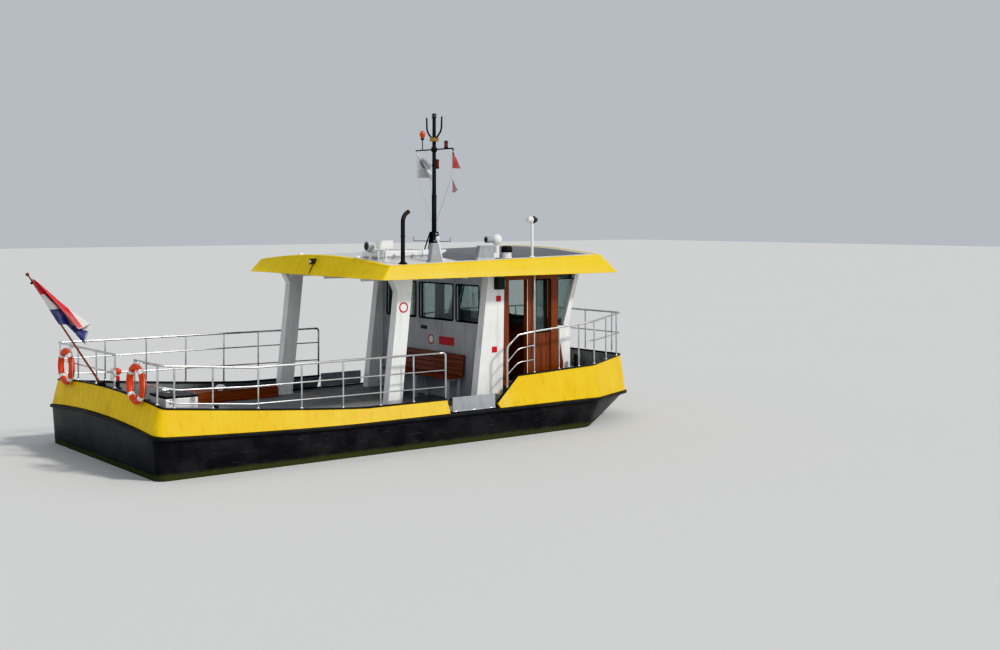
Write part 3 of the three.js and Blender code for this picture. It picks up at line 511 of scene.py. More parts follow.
@dataclass(frozen=True)
class RoofSkin(Finish):
    """White roof paint, set darker than the white paint elsewhere as painted shade for the roof top seen at
    a grazing angle, with a dark field let into its forward part.
    """

    name: str = "roof paint"
    # Darker than the white paint elsewhere: painted shade for the roof top, which is seen at a grazing
    # angle.
    white: Colour = (0.6, 0.6, 0.585)
    field_colour: Colour = (0.045, 0.047, 0.055)
    aft_edge: float = 0.55
    fore_edge: float = 3.66
    half_width: float = 2.17

    def paint(self, graph: Graph) -> Material:
        """The field is a box in X and Y; its grit shows as bump and the white carries grime."""
        x, y = graph.axis("X"), graph.math("ABSOLUTE", graph.axis("Y"))
        inside = x.above(self.aft_edge, 0.01) * (1 - x.above(self.fore_edge, 0.01))
        inside = inside * (1 - y.above(self.half_width, 0.01))
        dirt = graph.noise(1.6, 6, (1, 2.5, 1)).above(0.55, 0.3) * 0.35
        seam = x.each(1.2, 0.012) * 0.35
        white = graph.mix(dirt + seam, self.white, (0.16, 0.15, 0.12))
        dusty = graph.mix(graph.noise(3, 4).above(0.5, 0.4) * 0.5, self.field_colour, (0.1, 0.1, 0.105))
        grit = graph.noise(300, 2)
        graph.bump(grit * inside + seam, 0.0012, 0.6)
        colour = graph.mix(inside, white, dusty)
        return graph.done(base_color=colour, roughness=0.42 + inside * 0.06 + dirt * 0.2, coat_weight=0.2)


class Grain(Enum):
    """The way that wood grain runs, as a stretch of each axis."""

    ALONG = (0.35, 9.0, 9.0)
    ACROSS = (9.0, 0.35, 9.0)
    UPRIGHT = (9.0, 9.0, 0.35)


@dataclass(frozen=True)
class Varnish(Finish):
    """Varnished mahogany: dark pores in red-brown bands under a clear coat."""

    name: str
    grain: Grain
    light: Colour = (0.21, 0.045, 0.012)
    dark: Colour = (0.06, 0.01, 0.004)
    plank: float = 0.0

    def paint(self, graph: Graph) -> Material:
        """Two scales of stretched noise make bands and pores. Plank joints are lines in X or Z."""
        bands = graph.noise(1.4, 6, self.grain.value, 0.6)
        pores = graph.noise(9, 4, self.grain.value).above(0.6, 0.12)
        colour = graph.ramp(bands, [(0.3, self.dark), (0.5, self.light), (0.72, (0.13, 0.028, 0.009))])
        colour = graph.mix(pores * 0.55, colour, self.dark)
        height = pores * -0.2
        if self.plank:
            joint = graph.axis("X" if self.grain is Grain.UPRIGHT else "Z").each(self.plank, 0.006)
            colour = graph.mix(joint * 0.85, colour, (0.02, 0.006, 0.004))
            height = height - joint
        graph.bump(height, 0.0015, 0.6)
        rough = 0.34 + graph.noise(5) * 0.18
        return graph.done(base_color=colour, roughness=rough, coat_weight=0.3, coat_roughness=0.1)


@dataclass(frozen=True)
class Metal(Finish):
    """Bare metal with fine brushing, clouded by weather."""

    name: str
    colour: Colour
    rough: float = 0.32
    spots: float = 0.0

    def paint(self, graph: Graph) -> Material:
        """Roughness clouds, fine scratches as bump, and specks of rust where spots is above zero."""
        cloud = graph.noise(7, 4)
        scratch = graph.noise(60, 2, (1, 1, 6))
        speck = graph.noise(24, 5).above(0.66, 0.08) * self.spots
        dull = tuple(0.72 * c for c in self.colour)
        colour = graph.mix(cloud.above(0.5, 0.4), self.colour, dull)
        colour = graph.mix(speck, colour, (0.16, 0.06, 0.025))
        graph.bump(scratch + speck, 0.0003, 0.4)
        rough = self.rough + (cloud - 0.5) * 0.25 + speck * 0.4
        return graph.done(base_color=colour, roughness=rough, metallic=1 - speck * 0.8)


@dataclass(frozen=True)
class Pane(Finish):
    """Window glass, faintly tinted, with a film of dust that scatters a little light."""

    name: str = "window glass"
    tint: Colour = (0.5, 0.58, 0.57)

    def paint(self, graph: Graph) -> Material:
        """A transmitting shader; dust only roughens it."""
        dust = graph.noise(5, 4, (2, 2, 0.6)).above(0.55, 0.35)
        return graph.done(
            base_color=self.tint, roughness=dust * 0.05 + 0.01, transmission_weight=0.94, ior=1.45
        )


@dataclass(frozen=True)
class Moulding(Finish):
    """Moulded plastic, rubber or lamp glass: even colour, fine texture, scuffs."""

    name: str
    colour: Colour
    rough: float = 0.45
    clear: float = 0.0
    glow: float = 0.0

    def paint(self, graph: Graph) -> Material:
        """Scuffs are thin bright noise, and the mould's texture is a fine bump."""
        scuff = graph.noise(14, 5).above(0.62, 0.1)
        pale = tuple(0.6 * c + 0.08 for c in self.colour)
        colour = graph.mix(scuff * 0.35, self.colour, pale)
        graph.bump(graph.noise(160, 2), 0.0003, 0.4)
        rough = scuff * 0.2 + (self.rough + graph.noise(6, 2) * 0.1 - 0.05)
        emission = {"emission_color": self.colour, "emission_strength": self.glow} if self.glow else {}
        return graph.done(
            base_color=colour, roughness=rough, transmission_weight=self.clear,
            coat_weight=0.4 if self.clear else 0.05, **emission,
        )


@dataclass(frozen=True)
class Bunting(Finish):
    """Woven flag cloth in level bands by the sheet's own UV map, with an oval patch where one is given."""

    name: str
    bands: tuple[Colour, ...]
    patch: Colour | None = None

    def paint(self, graph: Graph) -> Material:
        """A thread is a sine each way; bands follow V from the foot of the flag to its head."""
        u = graph.value("ShaderNodeSeparateXYZ", None, {0: graph.sheet}, "X")
        v = graph.value("ShaderNodeSeparateXYZ", None, {0: graph.sheet}, "Y")
        count = len(self.bands)
        stops = [(k / count, colour) for k, colour in enumerate(self.bands)]
        colour = graph.ramp(v, stops, True)
        if self.patch:
            across, up = (u - 0.5) * 2.6, (v - 0.62) * 3.4
            spread = across * across + up * up + graph.noise(9, 2) * 0.9
            colour = graph.mix(1 - spread.above(1.2, 0.3), colour, self.patch)
        weave = graph.math("SINE", u * 900) * graph.math("SINE", v * 700)
        faded = graph.noise(5, 4).above(0.5, 0.4) * 0.22
        colour = graph.mix(faded, colour, (0.45, 0.42, 0.4))
        hem = (1 - u.above(0.03, 0.01)) + u.above(0.975, 0.008)
        colour = graph.mix(hem * 0.4, colour, (0.6, 0.6, 0.58))
        graph.bump(weave * 0.15 + hem, 0.0003, 0.4)
        return graph.done(base_color=colour, roughness=0.92, sheen_weight=0.25)


@dataclass(frozen=True)
class Leather(Finish):
    """Black seat cover with a fine crease grain."""

    name: str = "seat cover"
    colour: Colour = (0.018, 0.018, 0.02)

    def paint(self, graph: Graph) -> Material:
        """Cells of a Voronoi texture make the grain."""
        cells = graph.value("ShaderNodeTexVoronoi", None, {"Vector": graph.place, "Scale": 320})
        wear = graph.noise(8, 4).above(0.55, 0.3)
        colour = graph.mix(wear * 0.5, self.colour, (0.05, 0.048, 0.046))
        graph.bump(cells, 0.0008, 0.5)
        return graph.done(base_color=colour, roughness=0.5 - wear * 0.12, coat_weight=0.1)


YELLOW = Paint("yellow paint", (0.78, 0.5, 0.012), (0.84, 0.57, 0.02), 0.45, 0.0, grime=0.3, seam=1.15,
               gloss=0.3)
ROOF_YELLOW = Paint("roof yellow", (0.84, 0.58, 0.012), (0.9, 0.64, 0.02), 0.45, 0.0, grime=0.18, gloss=0.3)
INNER_GREY = Paint("bulwark grey", (0.26, 0.27, 0.275), (0.33, 0.335, 0.335), 0.5, 0.1, grime=0.5)
WHITE = Paint("white paint", (0.78, 0.78, 0.77), (0.84, 0.84, 0.83), 0.3, 0.35, grime=0.22)
# Light grey paint; on the aft wall's aft face the same grey is painted shade on the white wall.
PALE_AND_SHADE = Paint("light grey paint", (0.45, 0.46, 0.475), (0.52, 0.53, 0.54), 0.45, 0.15, grime=0.3)
GREY = Paint("grey paint", (0.3, 0.32, 0.35), (0.38, 0.4, 0.42), 0.5, 0.1, grime=0.4)
BLACK = Paint("black paint", (0.014, 0.014, 0.016), (0.028, 0.028, 0.03), 0.5, 0.0, grime=0.3, gloss=0.3)
SOOT = Paint("sooty pipe", (0.02, 0.018, 0.018), (0.06, 0.035, 0.025), 0.75, 0.0, grime=0.8,
             soil=(0.1, 0.04, 0.02))
RUST = Paint("rust run", (0.16, 0.06, 0.02), (0.3, 0.13, 0.04), 0.9, 0.0, grime=0.3)
ENGINE = Paint("engine paint", (0.05, 0.12, 0.09), (0.08, 0.16, 0.12), 0.5, 0.1, grime=0.8)
TOPSIDES = Topsides()
MAIN_DECK = Deck("main deck paint", (0.19, 0.195, 0.2), (0.29, 0.29, 0.285))
STEP_GREY = Deck("fore deck paint", (0.2, 0.205, 0.21), (0.3, 0.3, 0.295))
ROOF_SKIN = RoofSkin()
WOOD_UP = Varnish("mahogany upright", Grain.UPRIGHT)
WOOD_PANEL = Varnish("mahogany boards", Grain.UPRIGHT, plank=0.11)
WOOD_ALONG = Varnish("mahogany along", Grain.ALONG, plank=0.105)
WOOD_ACROSS = Varnish("mahogany across", Grain.ACROSS)
STEEL = Metal("rail steel", (0.72, 0.73, 0.74), 0.3, 0.25)
CHROME = Metal("bright steel", (0.78, 0.79, 0.8), 0.15)
BRONZE = Metal("bronze", (0.62, 0.38, 0.16), 0.3, 0.3)
GLASS = Pane()
RUBBER = Moulding("black rubber", (0.015, 0.015, 0.016), 0.7)
DARK = Moulding("black housing", (0.02, 0.02, 0.022), 0.4)
SCREEN = Moulding("screen", (0.01, 0.014, 0.02), 0.08)
BUOY_ORANGE = Moulding("buoy orange", (0.66, 0.06, 0.018), 0.5)
BUOY_WHITE = Moulding("buoy white", (0.75, 0.74, 0.72), 0.5)
RED = Moulding("sign red", (0.55, 0.02, 0.03), 0.35)
GREEN_LENS = Moulding("green lens", (0.02, 0.45, 0.15), 0.1)
RED_LENS = Moulding("red lens", (0.6, 0.02, 0.015), 0.1)
AMBER_LENS = Moulding("amber lens", (0.6, 0.1, 0.02), 0.12)
DUSKY_LENS = Moulding("dusky red lens", (0.16, 0.02, 0.016), 0.14)
SMOKED_LENS = Moulding("smoked lens", (0.06, 0.08, 0.085), 0.12)
CLEAR_LENS = Moulding("clear lens", (0.75, 0.77, 0.78), 0.08)
ROPE = Moulding("rope", (0.5, 0.47, 0.4), 0.9)
ENSIGN = Bunting("ensign cloth", ((0.02, 0.03, 0.16), (0.7, 0.68, 0.65), (0.55, 0.02, 0.03)))
PENNANT = Bunting("pennant cloth", ((0.3, 0.02, 0.02), (0.34, 0.025, 0.025)))
FADED_PENNANT = Bunting("faded pennant cloth", ((0.3, 0.14, 0.16), (0.34, 0.17, 0.19)))
HOUSE_FLAG = Bunting("house flag cloth", ((0.58, 0.58, 0.6), (0.74, 0.74, 0.74), (0.78, 0.78, 0.78)),
                     (0.2, 0.22, 0.28))
LEATHER = Leather()

# The record's slot of each finish that isn't trim
SLOTS: dict[Finish, str] = {
    BRONZE: "bronze",
    BUOY_ORANGE: "buoy",
    MAIN_DECK: "deck", STEP_GREY: "deck",
    ENGINE: "engine",
    GREY: "grey", PALE_AND_SHADE: "grey",
    TOPSIDES: "hull",
    WOOD_ACROSS: "mahogany", WOOD_ALONG: "mahogany", WOOD_UP: "mahogany",
    ROPE: "mast",
    STEEL: "rail", CHROME: "rail",
    LEATHER: "seat",
    WHITE: "white", CLEAR_LENS: "white", ROOF_SKIN: "white", BUOY_WHITE: "white",
    ROOF_YELLOW: "yellow", YELLOW: "yellow",
}


# Pieces


def adjust(target: object, **values: object) -> None:
    """Sets several attributes of one of Blender's things, in order."""
    for key, value in values.items():
        setattr(target, key, value)


def tidied(mesh: Mesh, weld: float, flat: float = 0.0) -> None:
    """Merges vertices closer than weld, joins faces within an angle of flat, and turns faces outward."""
    work = bmesh.new()
    work.from_mesh(mesh)
    if weld:
        bmesh.ops.remove_doubles(work, verts=work.verts, dist=weld)
        bmesh.ops.dissolve_degenerate(work, edges=work.edges, dist=1e-6)
    if flat:
        bmesh.ops.dissolve_limit(work, angle_limit=flat, verts=work.verts, edges=work.edges)
    bmesh.ops.recalc_face_normals(work, faces=work.faces)
    work.to_mesh(mesh)
    work.free()


def placed(
    name: str, mesh: Mesh, finishes: Sequence[Finish], body: str, slot: str, bevel: float, sharp: float
) -> Object:
    """An object of a mesh, shaded smooth with sharp edges kept, that rides a body.

    Args:
        name: the piece's name.
        mesh: its mesh, in place.
        finishes: looks, by the numbers that its faces carry.
        body: the CAD body it moves with.
        slot: the record's material slot, or nothing for the usual one of the first finish; not used.
        bevel: width of the rounded edges, or 0.
        sharp: angle in degrees from which an edge stays sharp.

    Returns:
        The object.
    """
    coats = np.empty(len(mesh.polygons), np.int32)
    mesh.polygons.foreach_get("material_index", coats)
    mesh.materials.clear()
    for finish in finishes:
        mesh.materials.append(finish.material())
    mesh.polygons.foreach_set("material_index", coats)
    mesh.polygons.foreach_set("use_smooth", np.ones(len(mesh.polygons), bool))
    mesh.set_sharp_from_angle(angle=math.radians(sharp))
    obj = bpy.data.objects.new(name, mesh)
    bpy.context.scene.collection.objects.link(obj)
    if bevel:
        adjust(obj.modifiers.new("edges", "BEVEL"), width=bevel, segments=3, limit_method="ANGLE",
               angle_limit=math.radians(28), use_clamp_overlap=True, harden_normals=True)
    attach(obj, body)
    slot or SLOTS.get(finishes[0], "trim")
    LOG.info("%s: %d faces on %s", name, len(mesh.polygons), body)
    return obj


def piece(
    name: str, form: Form, *finishes: Finish, body: str = "boat", slot: str = "",
    stands_for: str = "", bevel: float = 0.0, weld: float = 0.0, sharp: float = 38.0,
) -> Object:
    """A new piece from a form. stands_for names the CAD node that it is shown instead of."""
    mesh = bpy.data.meshes.new(name)
    loops = np.concatenate([faces.ravel() for faces in form.faces]).astype(np.int32)
    sizes = np.concatenate([np.full(len(faces), faces.shape[1]) for faces in form.faces])
    coats = np.concatenate([np.full(len(f), c) for f, c in zip(form.faces, form.coats)])
    mesh.vertices.add(len(form.verts))
    mesh.vertices.foreach_set("co", form.verts.astype(np.float32).ravel())
    mesh.loops.add(len(loops))
    mesh.loops.foreach_set("vertex_index", loops)
    mesh.polygons.add(len(sizes))
    mesh.polygons.foreach_set("loop_start", (np.cumsum(sizes) - sizes).astype(np.int32))
    mesh.polygons.foreach_set("material_index", coats.astype(np.int32))
    mesh.update(calc_edges=True)
    mesh.validate()
    tidied(mesh, weld)
    obj = placed(name, mesh, finishes, body, slot, bevel, sharp)
    if stands_for:
        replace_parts(obj, stands_for)
    return obj


def softened(
    node: str, *finishes: Finish, body: str = "boat", slot: str = "", bevel: float = 0.005,
    coating: Rule | None = None,
) -> Object:
    """A merged copy of a CAD node with rounded edges, shown instead of it.

    Args:
        node: the CAD node.
        finishes: looks.
        body: the body it rides.
        slot: the material slot, or nothing for the usual one.
        bevel: width of the rounded edges.
        coating: finish numbers from the faces' centres and normals.
    """
    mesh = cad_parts[node].data.copy()
    mesh.name = f"{node}_dressed"
    tidied(mesh, 2e-4, 0.02)
    count = len(mesh.polygons)
    centres, normals = np.empty(count * 3, np.float32), np.empty(count * 3, np.float32)
    mesh.polygons.foreach_get("center", centres)
    mesh.polygons.foreach_get("normal", normals)
    coats = coating(centres.reshape(-1, 3), normals.reshape(-1, 3)) if coating else np.zeros(count)
    obj = placed(f"{node}_dressed", mesh, finishes, body, slot, bevel, 38.0)
    mesh.polygons.foreach_set("material_index", coats.astype(np.int32))
    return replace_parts(obj, node)


def recoated(form: Form, number: int, where: Callable[[Array], Array]) -> Form:
    """Faces whose centre passes a test take another finish."""
    faces, coats = [], []
    for block_faces, coat in zip(form.faces, form.coats):
        hit = where(form.verts[block_faces].mean(axis=1))
        for share, kind in ((block_faces[~hit], coat), (block_faces[hit], number)):
            if len(share):
                faces.append(share)
                coats.append(kind)
    return Form(form.verts, faces, coats)


# Hull


def ease(value: Array) -> Array:
    """t^2 (3 - 2t), with t held to 0..1."""
    held = np.clip(value, 0, 1)
    return held**2 * (3 - 2 * held)


def arc(centre: Point, radius: float, start: float, end: float, count: int) -> Array:
    """Points of an arc in plan: centre + radius * (cos, sin)."""
    turn = np.linspace(start, end, count)
    return np.asarray(centre) + radius * np.stack([np.cos(turn), np.sin(turn)], -1)


def upright(plan: Array, level: Array | float) -> Array:
    """Plan points with a level each."""
    return np.column_stack([plan, np.broadcast_to(level, len(plan))])


class Part(Enum):
    """A run of the plan round the boat: all of it, or the part aft or forward of the gates."""

    WHOLE = "whole"
    AFT = "aft"
    FORE = "fore"


@dataclass(frozen=True)
class Lines:
    """Plan and levels that the hull, bulwarks and rails follow."""

    stern: float = -5.3
    bow: float = 5.32
    half: float = 2.384
    quarter: float = 0.2
    shoulder_x: float = 3.8
    shoulder_radius: float = 0.6
    corner_y: float = 1.584
    corner_radius: float = 0.3
    gate_aft: float = 0.25
    gate_fore: float = 1.4
    slope_top: float = 1.88

    def half_plan(self, offset: float) -> Array:
        """Port half from the stern's centre to the bow's, arcs having radius + offset."""
        flank = math.atan2(self.half - self.corner_y, self.bow - self.shoulder_x)
        tangent = math.pi / 2 - flank
        shoulder = (self.shoulder_x - self.shoulder_radius * math.tan(flank / 2),
                    self.half - self.shoulder_radius)
        corner = (self.bow - self.corner_radius, self.corner_y - self.corner_radius * math.tan(tangent / 2))
        across = np.linspace(0, self.half - self.quarter, 13)[:-1]
        breaks = [-1.4, self.gate_aft, self.gate_fore, self.slope_top]
        side = np.unique(np.concatenate([np.linspace(-5.0, shoulder[0] - 0.1, 54), breaks]))
        turn = arc(shoulder, self.shoulder_radius + offset, math.pi / 2, tangent, 9)
        nose = arc(corner, self.corner_radius + offset, tangent, 0, 9)
        front = np.linspace(corner[1], 0, 10)[1:]
        quarter = (self.stern + self.quarter, self.half - self.quarter)
        return np.vstack([
            np.column_stack([np.full(12, self.stern - offset), across]),
            arc(quarter, self.quarter + offset, math.pi, math.pi / 2, 10),
            np.column_stack([side, np.full(len(side), self.half + offset)]),
            turn, np.linspace(turn[-1], nose[0], 9)[1:-1], nose,
            np.column_stack([np.full(9, self.bow + offset), front]),
        ])

    def run(self, part: Part, offset: float) -> Array:
        """One part of the plan, from the port side to starboard. The whole is a loop."""
        half, base = self.half_plan(offset), self.half_plan(0)[:, 0]
        if part is Part.AFT:
            half = half[base <= self.gate_aft + 1e-6][::-1]
        elif part is Part.FORE:
            half = half[base >= self.gate_fore - 1e-6]
        whole = np.vstack([half, half[::-1][1:] * [1, -1]])
        return whole[:-1] if part is Part.WHOLE else whole

    def camber(self, x: Array, y: Array) -> Array:
        """Rise of the transom: 0.11 (1 - (y / half)^2)."""
        return 0.11 * (1 - (y / self.half) ** 2) * np.clip((-5.1 - x) / 0.1, 0, 1)

    def sheer(self, x: Array, y: Array) -> Array:
        """Upper edge of the hull: 0.57, plus a rise aft as a power of 1.5 and a fall forward."""
        aft = 0.13 * np.clip((-1.5 - x) / 3.8, 0, 1) ** 1.5
        return 0.57 + aft - 0.05 * np.clip((x - 3.6) / 1.7, 0, 1) + self.camber(x, y)

    def top(self, x: Array, y: Array) -> Array:
        """Top of the bulwark, which slopes up from the gate to the forward deck."""
        aft = 0.8 + 0.32 * np.clip((-1.4 - x) / 3.9, 0, 1) ** 1.2 + self.camber(x, y)
        slope = np.clip((x - self.gate_fore) / (self.slope_top - self.gate_fore), 0, 1)
        fore = 0.65 + 0.46 * slope + 0.038 * np.maximum(0, x - self.slope_top)
        return np.where(x <= self.gate_aft + 1e-6, aft, fore)

    def band(self, part: Part, section: Sequence[tuple[float, Rule, float]]) -> Form:
        """A strip of constant section along the plan.

        Args:
            part: the run it follows.
            section: outward offset, rule for the level, and rise above that level, for each corner.
        """
        base = self.run(part, 0)
        rails = [
            upright(self.run(part, offset), level(base[:, 0], base[:, 1]) + rise)
            for offset, level, rise in section
        ]
        rings = np.stack(rails, 1)
        return grid(rings, True, True) if part is Part.WHOLE else skin(rings)


LINES = Lines()
WELL = (-3.4, -2.35, 0.52, -0.38)
HATCH = (-3.3, -2.5, 0.44)
DECK_BASE = 0.48
MAIN_DECK_Z = 0.55
FORE_DECK_Z = 0.9


def held_to(plan: Array, x0: float, x1: float, y: float) -> Array:
    """Plan points moved to the nearest place in a rectangle, which makes a loop round it."""
    return np.clip(plan, [x0, -y], [x1, y])


@dataclass(frozen=True)
class Hull:
    """Hull, decks, bulwarks, capping and strake."""

    raised_from: float = 1.85

    def shell(self) -> Form:
        """Both halves from keel to sheer with a rounded chine, the rim and the engine well."""
        inner, base = LINES.half_plan(-0.06), LINES.half_plan(0)
        x, y = inner.T
        along = np.where(x < 0, 0.972 * x, 0.68 * x)
        depth = -0.62 + 0.47 * ease((-2.6 - along) / 2.55) + 0.2 * ease((along - 1.5) / 2.1)
        keel = np.column_stack([along, 0.11 * y, depth])
        reach = np.where(x < 2.5, x, 2.5 + 0.86 * (x - 2.5))
        rise = 0.08 * np.clip((-3 - x) / 2.3, 0, 1) + 0.43 * np.clip((reach - 1.5) / 3.4, 0, 1) ** 1.7
        chine = np.column_stack([reach, y, -0.2 + rise])
        edge = LINES.sheer(*base.T)
        sheer = upright(base, edge)
        start, end = chine + 0.06 * (keel - chine), chine + 0.1 * (sheer - chine)
        bottom = [keel + t * (start - keel) for t in np.linspace(0, 1, 5)[:-1]]
        bilge = [(1 - t) ** 2 * start + 2 * t * (1 - t) * chine + t**2 * end for t in np.linspace(0, 1, 5)]
        side = [end + t * (sheer - end) for t in np.linspace(0, 1, 5)[1:]]
        x0, x1, well_y, floor = WELL
        well = held_to(inner, x0, x1, well_y)
        top = [upright(inner, edge), upright(inner, DECK_BASE), upright(well, DECK_BASE),
               upright(well, floor)]
        port = np.stack(bottom + bilge + side + top)
        return grid(np.vstack([port, port[::-1] * [1, -1, 1]]), True)

    def skeg(self) -> Form:
        """A fin with a sole piece under the rudder, and the stern tube."""
        outline = [
            (-2.2, -0.56), (-2.2, -0.618), (-4.3, -0.76), (-5.04, -0.76),
            (-5.04, -0.722), (-4.48, -0.722), (-4.48, -0.15), (-3.9, -0.15),
        ]
        fin = slab(outline, -0.04, 0.04)
        bearing = [(0.05, 0), (0.062, 0.012), (0.062, 0.38), (0.07, 0.42), (0, 0.43)]
        return fin + lathe(bearing, (-4.53, 0, -0.47), 24, 0)

    def bollards(self, x: float, y: float, foot: float) -> Form:
        """A pair of posts with a flat rim, a crossbar and a foot plate."""
        post = [(0.085, 0), (0.085, 0.01), (0.052, 0.016), (0.048, 0.03), (0.048, 0.5),
                (0.044, 0.514), (0.036, 0.52)]
        bar = tube([(x - 0.095, y, foot + 0.364), (x + 0.095, y, foot + 0.364)], 0.016, 14)
        return (lathe(post, (x, y, foot - 0.004)) + bar).both()

    def deck(self) -> None:
        """The main deck round its hatch, and the raised deck with its steps."""
        plan = LINES.run(Part.WHOLE, -0.0603)
        hole = held_to(plan, *HATCH)
        low = DECK_BASE + 0.0003
        rings = np.stack([upright(plan, low), upright(plan, MAIN_DECK_Z), upright(hole, MAIN_DECK_Z),
                          upright(hole, low)])
        main = grid(rings, True, True) + self.bollards(-4.15, 2.06, MAIN_DECK_Z).coated(1)
        piece("main_deck_plate", main, MAIN_DECK, BLACK, stands_for="main_deck", weld=1e-5)
        fore = LINES.run(Part.WHOLE, -0.165)
        fore[:, 0] = np.maximum(fore[:, 0], 1.85)
        bottom = MAIN_DECK_Z + 0.0003
        platform = skin(np.stack([upright(fore, bottom), upright(fore, FORE_DECK_Z)]))
        floor = block(1.5603, 1.855, -1.78, 1.78, bottom, FORE_DECK_Z)
        steps = joined([block(1.29 + 0.28 * k, 1.855, 1.985, 2.195, bottom, 0.667 + 0.117 * k)
                        for k in (0, 1)])
        nosing = joined([
            block(x, x + 0.035, 1.99, 2.19, z, z + 0.003)
            for x, z in ((1.292, 0.667), (1.572, 0.784), (1.853, 0.9))
        ])
        solid = platform + floor + steps.both() + self.bollards(3.45, 2.13, FORE_DECK_Z).coated(1)
        piece("fore_deck_plate", solid, STEP_GREY, BLACK, stands_for="fore_deck", weld=1e-5)
        piece("step_nosings", nosing.both(), ROOF_YELLOW)
        self.deck_fittings()

    def deck_fittings(self) -> None:
        """Filler caps, a deck hatch forward and an anchor capstan."""
        cap = [(0.045, 0), (0.048, 0.004), (0.03, 0.007), (0.026, 0.004)]
        spots = [(-1.6, 2.2), (-1.75, 2.2), (-0.4, 1.2), (-3.9, 0.7)]
        fillers = joined([lathe(cap, (x, y, MAIN_DECK_Z)) for x, y in spots])
        piece("deck_filler_caps", fillers, BRONZE)
        lid = skin(np.stack([
            ring_path(4.15, 4.75, -0.3, 0.3, r) * [1, 1, 0] + [0, 0, z]
            for r, z in ((0.06, FORE_DECK_Z), (0.06, FORE_DECK_Z + 0.035), (0.05, FORE_DECK_Z + 0.045))
        ]))
        hinges = joined([tube([(4.2 + x, -0.31, 0.93), (4.28 + x, -0.31, 0.93)], 0.012) for x in (0, 0.42)])
        piece("anchor_hatch", lid + hinges.coated(1), WHITE, CHROME)
        drum = [(0.09, 0), (0.09, 0.03), (0.05, 0.05), (0.05, 0.16), (0.1, 0.18), (0.1, 0.2), (0, 0.21)]
        piece("anchor_capstan", lathe(drum, (3.95, 0, FORE_DECK_Z)), GREY)

    def ribs(self, part: Part, step: int) -> Form:
        """Stays inside the bulwark, each a thin plate square to the plan."""
        outer, inner = LINES.run(part, 0), LINES.run(part, -0.1)
        base = np.arange(3, len(outer) - 3, step)
        x, y = outer[base].T
        inward = (inner - outer)[base] / 0.1
        along = np.stack([-inward[:, 1], inward[:, 0]], -1)
        sheer, top = LINES.sheer(x, y), LINES.top(x, y)
        foot = np.where(x > self.raised_from, FORE_DECK_Z, MAIN_DECK_Z) + 0.002
        foot = np.minimum(np.maximum(foot, 0), top - 0.09)
        rows = [(0.05, np.minimum(sheer + 0.01, top - 0.1)), (0.175, foot), (0.15, top - 0.03),
                (0.132, top - 0.03)]
        corners = [upright(outer[base] + reach * inward, level) for reach, level in rows]
        plates = []
        for k in range(len(base)):
            side = np.append(along[k], 0) * 0.005
            ring = np.stack([corner[k] for corner in corners])
            plates.append(skin(np.stack([ring - side, ring + side])))
        return joined(plates)

    def build(self) -> None:
        """Makes the pieces."""
        piece("hull_shell", self.shell() + self.skeg(), TOPSIDES, stands_for="hull", weld=1e-5)
        sheer, top = LINES.sheer, LINES.top
        profile = [(0.0005, -0.06), (0.028, -0.06), (0.038, -0.05), (0.038, -0.016), (0.028, -0.005),
                   (0.0005, -0.005)]
        strake = LINES.band(Part.WHOLE, [(offset, sheer, rise) for offset, rise in profile])
        piece("rubbing_strake_bar", strake, BLACK, stands_for="rubbing_strake")
        for part, name in ((Part.AFT, "aft"), (Part.FORE, "fore")):
            wall = LINES.band(part,
                              [(0, sheer, 0.0025), (-0.1, top, 0), (-0.14, top, 0), (-0.04, sheer, 0.0025)])
            quads = wall.faces[0].reshape(-1, 4, 4)
            wall.faces[0] = quads[:, [0, 1, 3]].reshape(-1, 4)
            wall.faces.append(quads[:, 2])
            wall.coats.append(1)
            wall = wall + self.ribs(part, 9 if part is Part.AFT else 8).coated(1)
            piece(f"bulwark_{name}_plate", wall, YELLOW, INNER_GREY, stands_for=f"bulwark_{name}")
            lip = [(-0.09, 0.0025), (-0.155, 0.0025), (-0.155, 0.02), (-0.148, 0.0275), (-0.097, 0.0275),
                   (-0.09, 0.02)]
            cap = LINES.band(part, [(offset, top, rise) for offset, rise in lip])
            piece(f"cap_rail_{name}_bar", cap, BLACK, stands_for=f"cap_rail_{name}")
        self.deck()


# Rails


@dataclass(frozen=True)
class Guard:
    """Places along X, and the heights there of a guard's bars."""

    along: Point
    top: Point
    mid: Point
    low: Point

    def raised(self, bar: str, plan: Sequence[Point]) -> Array:
        """Plan points lifted to a bar's level."""
        flat = np.asarray(plan, float)
        return upright(flat, np.interp(flat[:, 0], self.along, getattr(self, bar)))


AFT_PLACES = (-5.4, -4.9, -3.6, 0.4)
AFT_GUARDS = {
    -1.0: Guard(AFT_PLACES, (1.81, 1.76, 1.65, 1.65), (1.5, 1.39, 1.345, 1.34), (1.335, 1.18, 1.06, 1.04)),
    1.0: Guard(AFT_PLACES, (1.81, 1.808, 1.802, 1.79), (1.5, 1.51, 1.512, 1.5), (1.335, 1.23, 1.18, 1.14)),
}
FORE_GUARD = Guard(
    (1.6, 1.9, 2.34, 3.86, 5.4),
    (1.64, 1.88, 1.93, 2.045, 2.12), (1.345, 1.62, 1.67, 1.67, 1.7), (1.12, 1.365, 1.4, 1.4, 1.4),
)
RAIL_Y = 2.262
RAIL_X = -5.178


